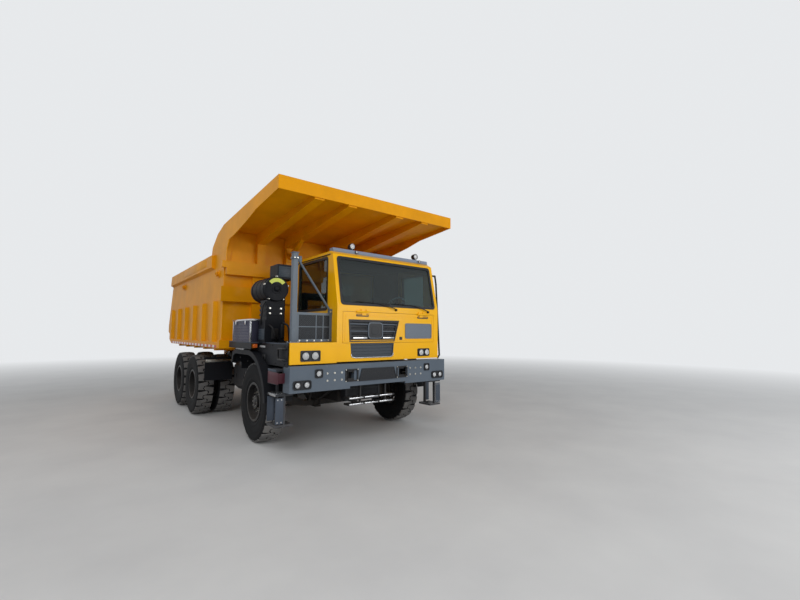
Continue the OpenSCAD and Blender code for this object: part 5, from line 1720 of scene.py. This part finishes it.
@dataclass
class BedTrim:
    """Reflective tape, blank boards, weld beads and pins of the bed."""

    bed_x: float = 1.92
    skin_x: float = 1.85

    def tape(self) -> None:
        """Makes the red and white tape along the lower edge."""
        for name, finish, first in (("tape_red", TAPE_RED, 0), ("tape_white", TAPE_WHITE, 1)):
            shape = Shape(name)
            for i in range(first, 31, 2):
                shape.slab((self.bed_x - 0.0005, self.bed_x + 0.0012), (1.34 + i * 0.15, 1.49 + i * 0.15), (1.590, 1.640))
            shape.mirrored()
            shape.done("bed", finish)

    def welds(self) -> None:
        """Makes the weld beads along the ribs, rails and bands."""
        shape = Shape("weld_beads")
        for i in range(6):
            y = 1.80 + i * 0.905
            for s in (-0.172, 0.172):
                shape.pipe([at(self.skin_x + 0.002, y + s, 1.705), at(self.skin_x + 0.002, y + s, 2.528)], 0.006, 6)
            shape.pipe([at(self.skin_x + 0.002, y - 0.168, 2.532), at(self.bed_x - 0.006, y - 0.098, 2.532),
                        at(self.bed_x - 0.006, y + 0.098, 2.532), at(self.skin_x + 0.002, y + 0.168, 2.532)], 0.005, 6)
        shape.pipe([at(self.skin_x + 0.002, 1.98, 3.236), at(self.skin_x + 0.002, 6.48, 3.236)], 0.006, 6)
        for x in (0.515, 1.145):
            for s in (-0.151, 0.151):
                for z in ((1.742, 2.508), (2.812, 3.048)):
                    shape.pipe([at(x + s, 1.278, z[0]), at(x + s, 1.278, z[1])], 0.005, 6)
            for s in (-0.086, 0.086):
                shape.pipe([at(x + s, 1.278, 3.322), at(x + s, 1.278, 3.735)], 0.005, 6)
        for z in (2.508, 2.812, 3.048, 3.322):
            shape.pipe([at(0.0, 1.278, z), at(1.80, 1.278, z)], 0.005, 6)
        shape.mirrored()
        shape.done("bed", BED_ORANGE)

    def build(self) -> None:
        """Makes the tape, boards, beads and pin caps."""
        self.tape()
        self.welds()
        strut = Shape("canopy_strut")
        strut.plate([at(-0.560, 0.42, 3.872), at(-0.560, 0.60, 3.840), at(-0.560, 1.170, 3.560), at(-0.560, 1.170, 3.470)],
                    (0.090, 0, 0), 0.006)
        strut.slab((-0.600, -0.430), (1.150, 1.162), (3.430, 3.600), 0.003)
        strut.done("bed", BED_ORANGE)
        boards = Shape("rail_boards")
        boards.slab((self.bed_x - 0.002, self.bed_x + 0.006), (2.42, 4.70), (3.335, 3.505), 0.004)
        boards.mirrored()
        boards.done("bed", BED_ORANGE)
        pins = Shape("bracket_pins")
        for x0, x1 in ((0.722, 0.741), (0.889, 0.915)):
            pins.rod(at(x0, 4.30, 1.42), at(x1, 4.30, 1.42), 0.052, sides=28, edge=0.004)
        for x in (0.722, 0.915):
            pins.bolt(at(x, 4.30, 1.42), (1 if x > 0.8 else -1, 0, 0), 0.016)
        pins.mirrored()
        pins.done("bed", ZINC)


@dataclass
class Underbody:
    """Springs, brakes, flaps, straps, rear lamps and the radiator's face."""

    def leaf(self, shape: Shape, x: Span, middle: float, reach: float, low: float, lift: float, thick: float) -> None:
        """Adds one spring leaf.

        Args:
            shape: the mesh.
            x: its sides.
            middle: its middle behind the front axle.
            reach: half its length.
            low: height of its underside at the middle.
            lift: how far its ends rise.
            thick: its thickness.
        """
        steps = 8
        spots = [(-reach + 2 * reach * i / steps) for i in range(steps + 1)]
        low_side = [(middle + t, low + lift * abs(t / reach) ** 1.5) for t in spots]
        high_side = [(y, z + thick) for y, z in reversed(low_side)]
        shape.plate([at(x[0], y, z) for y, z in low_side + high_side], (x[1] - x[0], 0, 0))

    def springs(self) -> None:
        """Makes the leaves, U-bolts and clamps of the front and rear packs."""
        shape = Shape("spring_leaves")
        for i in range(9):
            reach = 0.70 - i * 0.066
            self.leaf(shape, (0.371, 0.469), 0.0, reach, 0.622 + i * 0.0145, 0.285 * (reach / 0.70) ** 1.5, 0.0125)
        for i in range(11):
            self.leaf(shape, (0.526, 0.654), 4.10, 0.875 - i * 0.066, 0.797 + i * 0.0165, 0.004, 0.0145)
        for y in (-0.085, 0.085):
            for x in (0.366, 0.474):
                shape.rod(at(x, y, 0.505), at(x, y, 0.790), 0.011, sides=12)
            shape.slab((0.355, 0.485), (y - 0.016, y + 0.016), (0.755, 0.775), 0.004)
        shape.slab((0.360, 0.480), (-0.11, 0.11), (0.490, 0.512), 0.005)
        for y in (3.99, 4.21):
            for x in (0.520, 0.660):
                shape.rod(at(x, y, 0.720), at(x, y, 1.010), 0.013, sides=12)
            shape.slab((0.508, 0.672), (y - 0.018, y + 0.018), (0.982, 1.002), 0.004)
        shape.mirrored()
        shape.done("chassis", AXLE_IRON)

    def brakes(self) -> None:
        """Makes the brake chambers, dampers and the shafts' flanges."""
        shape = Shape("brake_chambers")
        drum = [(0.0, 0.0), (0.050, 0.002), (0.082, 0.020), (0.084, 0.060), (0.090, 0.066), (0.090, 0.076), (0.084, 0.082),
                (0.080, 0.130), (0.050, 0.150), (0.0, 0.152)]
        for x, y, z in ((0.830, 0.075, 0.690), (0.850, REAR_YS[0] - 0.290, 0.800), (0.850, REAR_YS[1] + 0.130, 0.800)):
            shape.turned(drum, at(x, y, z), Along.Y, 28)
            shape.rod(at(x, y - 0.06, z), at(x, y + 0.01, z), 0.016, sides=12)
        shape.rod(at(0.620, -0.12, 0.640), at(0.600, -0.24, 0.950), 0.032, sides=20)
        shape.rod(at(0.600, -0.24, 0.940), at(0.585, -0.33, 1.230), 0.044, sides=20)
        shape.rod(at(0.470, -0.335, 1.235), at(0.640, -0.335, 1.235), 0.020, sides=14)
        shape.mirrored()
        for y0, y1 in ((1.702, 1.732), (2.972, 3.002), (3.700, 3.730), (4.470, 4.500)):
            shape.rod(at(0, y0, 0.805), at(0, y1, 0.805), 0.092, sides=30)
        for y in REAR_YS:
            cover = Shape("cover")
            cover.bolt((0, 0.232, 0.20), (0, 1, 0), 0.011)
            cover.around(12, (0, 0, 0), Along.Y)
            shape.take(cover, at(0, y, AXLE_Z))
        shape.done("chassis", AXLE_IRON)

    def radiator(self) -> None:
        """Makes the frame and fins of the radiator's face and the fan guard behind it."""
        shape = Shape("radiator_face")
        outer = rounded_corners((-0.366, 0.366), (0.704, 1.396), 0.02)
        shape.front_ring(outer, inset(outer, 0.030), -0.9995, 0.014)
        for i in range(29):
            x = -0.33 + i * 0.0236
            shape.slab((x, x + 0.006), (-1.008, -0.9995), (0.735, 1.365))
        for z in (0.90, 1.05, 1.20):
            shape.slab((-0.335, 0.335), (-1.011, -1.004), (z, z + 0.012))
        shape.done("chassis", GRILLE_BLACK)

    def rear(self) -> None:
        """Makes the tail lamps, the flaps' strips, the tanks' straps and their caps."""
        for name, finish, x in (("tail_lamps_red", RED_LENS, (0.480, 0.590)), ("tail_lamps_amber", AMBER_LENS, (0.600, 0.670)),
                                ("tail_lamps_white", LAMP_LENS, (0.680, 0.752))):
            lens = Shape(name)
            lens.slab(x, (5.676, 5.694), (0.902, 0.990), 0.008, 3)
            lens.mirrored()
            lens.done("chassis", finish)
        zinc = Shape("flap_strips")
        zinc.slab((1.315, 1.865), (2.3285, 2.3355), (1.245, 1.300), 0.002)
        for i in range(6):
            zinc.bolt(at(1.34 + i * 0.10, 2.3285, 1.272), (0, -1, 0), 0.011)
        zinc.rod(at(1.02, 1.30, 1.296), at(1.02, 1.30, 1.340), 0.055, 0.050, sides=28, edge=0.006)
        zinc.mirrored()
        zinc.done("chassis", ZINC)
        straps = Shape("tank_straps")
        for y in (1.20, 1.68):
            loop = [(0.56, 1.3025), (1.2995, 1.3025), (1.4025, 1.1995), (1.4025, 0.8005), (1.2995, 0.6975), (0.56, 0.6975)]
            inner = [(0.56, 1.2990), (1.2985, 1.2990), (1.3990, 1.1985), (1.3990, 0.8015), (1.2985, 0.7010), (0.56, 0.7010)]
            straps.plate([at(x, y, z) for x, z in loop + inner[::-1]], (0, 0.045, 0))
            straps.slab((1.4005, 1.4125), (y + 0.008, y + 0.037), (0.960, 1.040), 0.003)
        straps.mirrored()
        straps.done("chassis", TOW_BLACK)
        beads = Shape("guard_beads")
        for y in (-0.05, 0.35):
            beads.bolt(at(1.7505, y, 1.40 if y < 0 else 1.445), (1, 0, 0), 0.010)
        beads.mirrored()
        beads.done("chassis", TOW_BLACK)

    def build(self) -> None:
        """Makes what hangs under the truck."""
        self.springs()
        self.brakes()
        self.radiator()
        self.rear()


@dataclass
class Hydraulics:
    """Glands, pipes and pins of the hoist's cylinders, drawn on the cylinders' own line."""

    x: float = 0.82
    tilt: float = math.atan2(0.57, 2.15)

    def place(self) -> Matrix:
        """The move from the cylinders' line to the row frame, with the foot's pin at its origin."""
        return Matrix.Translation(at(0.0, 2.15, 0.85)) @ Matrix.Rotation(self.tilt, 4, "X")

    def build(self) -> None:
        """Makes the trim of both cylinders."""
        barrel = Shape("barrel_glands")
        for profile in ([(0.0515, 1.862), (0.098, 1.862), (0.104, 1.870), (0.104, 1.898), (0.090, 1.906), (0.0515, 1.906)],
                        [(0.094, 0.085), (0.103, 0.090), (0.103, 0.118), (0.094, 0.123)],
                        [(0.094, 1.700), (0.100, 1.703), (0.100, 1.722), (0.094, 1.725)]):
            barrel.turned(profile, (self.x, 0, 0), Along.Y, 36, closed=True)
        for y in (0.16, 1.64):
            barrel.box((self.x - 0.028, y, 0.085), (self.x + 0.028, y + 0.06, 0.130), 0.006)
        barrel.pipe([(self.x, 1.67, 0.128), (self.x, 1.60, 0.150), (self.x, 0.40, 0.128), (self.x - 0.02, 0.22, 0.125)], 0.011, 10, 0.05)
        barrel.move(self.place())
        barrel.mirrored()
        barrel.done("hoist_barrels", CHASSIS_BLACK)
        caps = Shape("hoist_pin_caps")
        caps.rod((self.x + 0.070, 0, 0), (self.x + 0.084, 0, 0), 0.058, sides=28, edge=0.004)
        caps.bolt((self.x + 0.084, 0, 0), (1, 0, 0), 0.018)
        caps.move(self.place())
        caps.mirrored()
        caps.done("chassis", ZINC)


# ----------------------------------------------------------------------- stage


@dataclass(frozen=True)
class Studio:
    """Floor, soft light and the camera at the photograph's viewing angle."""

    eye: Point = (-4.122, -9.981, 1.89)
    yaw: float = math.radians(38.81)
    pitch: float = math.radians(4.74)
    roll: float = math.radians(0.29)
    focal: float = 403.33
    floor_half: float = 60.0
    surround: Colour = (0.93, 0.95, 0.97)
    brightness: float = 0.86

    def camera(self) -> None:
        """Places the camera."""
        data = bpy.data.cameras.new("view")
        data.sensor_fit = "HORIZONTAL"
        data.sensor_width = 36.0
        data.lens = self.focal * 36.0 / 800.0
        data.clip_end = 300.0
        c, s = math.cos(self.yaw), math.sin(self.yaw)
        cp, sp = math.cos(self.pitch), math.sin(self.pitch)
        ahead = Vector((s * cp, c * cp, sp))
        right = Vector((c, -s, 0.0))
        up = right.cross(ahead)
        cr, sr = math.cos(self.roll), math.sin(self.roll)
        across, high = right * cr + up * sr, up * cr - right * sr
        eye = bpy.data.objects.new("view", data)
        turn = Matrix((across, high, -ahead)).transposed().to_4x4()
        eye.matrix_world = Matrix.Translation(self.eye) @ turn
        bpy.context.scene.collection.objects.link(eye)
        bpy.context.scene.camera = eye

    def floor(self) -> None:
        """Lays the pale floor."""
        bm = bmesh.new()
        bmesh.ops.create_grid(bm, x_segments=1, y_segments=1, size=self.floor_half)
        mesh = bpy.data.meshes.new("floor")
        bm.to_mesh(mesh)
        bm.free()
        floor = bpy.data.objects.new("floor", mesh)
        bpy.context.scene.collection.objects.link(floor)
        material = bpy.data.materials.new("pale_floor")
        material.use_nodes = True
        tool = Tree(material.node_tree)
        where = tool.add("TexCoord").outputs["Object"]
        base = tool.mix(tool.span(tool.noise(where, 0.8, 4.0), 0.3, 0.7), (0.60, 0.60, 0.60), (0.66, 0.66, 0.655))
        shader = tool.add("BsdfPrincipled", {"Base Color": base, "Roughness": 0.85, "Specular IOR Level": 0.1})
        glow = tool.add("Emission", {"Color": self.surround, "Strength": self.brightness})
        reach = tool.add("VectorMath", {0: where}, operation="LENGTH").outputs["Value"]
        far = tool.math("MULTIPLY", tool.span(reach, 7.0, 26.0), tool.add("LightPath").outputs["Is Camera Ray"])
        blend = tool.add("MixShader", {0: far, 1: shader.outputs[0], 2: glow.outputs[0]})
        tool.add("OutputMaterial", {"Surface": blend.outputs[0]})
        mesh.materials.append(material)

    def lamp(self, name: str, place: Point, target: Point, size: tuple[float, float], power: float) -> None:
        """Adds a soft area lamp.

        Args:
            name: its name.
            place: where it hangs.
            target: where it points.
            size: its width and height.
            power: its power in watts.
        """
        data = bpy.data.lights.new(name, "AREA")
        data.shape = "RECTANGLE"
        data.size, data.size_y = size
        data.energy = power
        lamp = bpy.data.objects.new(name, data)
        way = Vector(target) - Vector(place)
        lamp.matrix_world = Matrix.Translation(place) @ way.to_track_quat("-Z", "Y").to_matrix().to_4x4()
        bpy.context.scene.collection.objects.link(lamp)

    def world(self) -> None:
        """Sets an even pale surround."""
        world = bpy.data.worlds.new("surround")
        world.use_nodes = True
        tool = Tree(world.node_tree)
        path = tool.add("LightPath")
        seen = tool.math("MAXIMUM", path.outputs["Is Camera Ray"],
                         tool.math("MAXIMUM", path.outputs["Is Glossy Ray"], path.outputs["Is Transmission Ray"]))
        strength = tool.span(seen, 0.0, 1.0, 0.34, self.brightness)
        shade = tool.add("Background", {"Color": self.surround, "Strength": strength})
        tool.add("OutputWorld", {"Surface": shade.outputs[0]})
        bpy.context.scene.world = world

    def build(self) -> None:
        """Sets the whole stage."""
        self.camera()
        self.floor()
        self.world()
        self.lamp("key", (-9.0, -13.0, 9.0), (0.0, -2.0, 1.5), (8.0, 6.0), 660.0)
        self.lamp("front_fill", (5.0, -15.0, 4.0), (0.0, -3.0, 1.5), (8.0, 5.0), 500.0)
        self.lamp("top", (-2.0, 0.0, 11.0), (0.0, 0.0, 0.0), (10.0, 12.0), 300.0)
        scene = bpy.context.scene
        scene.view_settings.view_transform = "Standard"


def main() -> None:
    """Builds the stage, dresses the CAD nodes and makes the pieces in order."""
    logging.basicConfig(level=logging.INFO, format="%(name)s: %(message)s")
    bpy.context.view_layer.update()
    Studio().build()
    builders: Iterable[object] = (
        CadDressing(), TreadedTyre(), WheelTrim(), Windscreen(), FrontFlapTrim(), CabTrim(), CabInside(), RoofLamps(),
        BumperTrim(), StepTrim(), DeckTrim(), AirCleanerTrim(), GuardTrim(), BedTrim(), Underbody(), Hydraulics())
    for builder in builders:
        builder.build()
        LOG.info("made %s", type(builder).__name__)


if __name__ == "__main__":
    main()
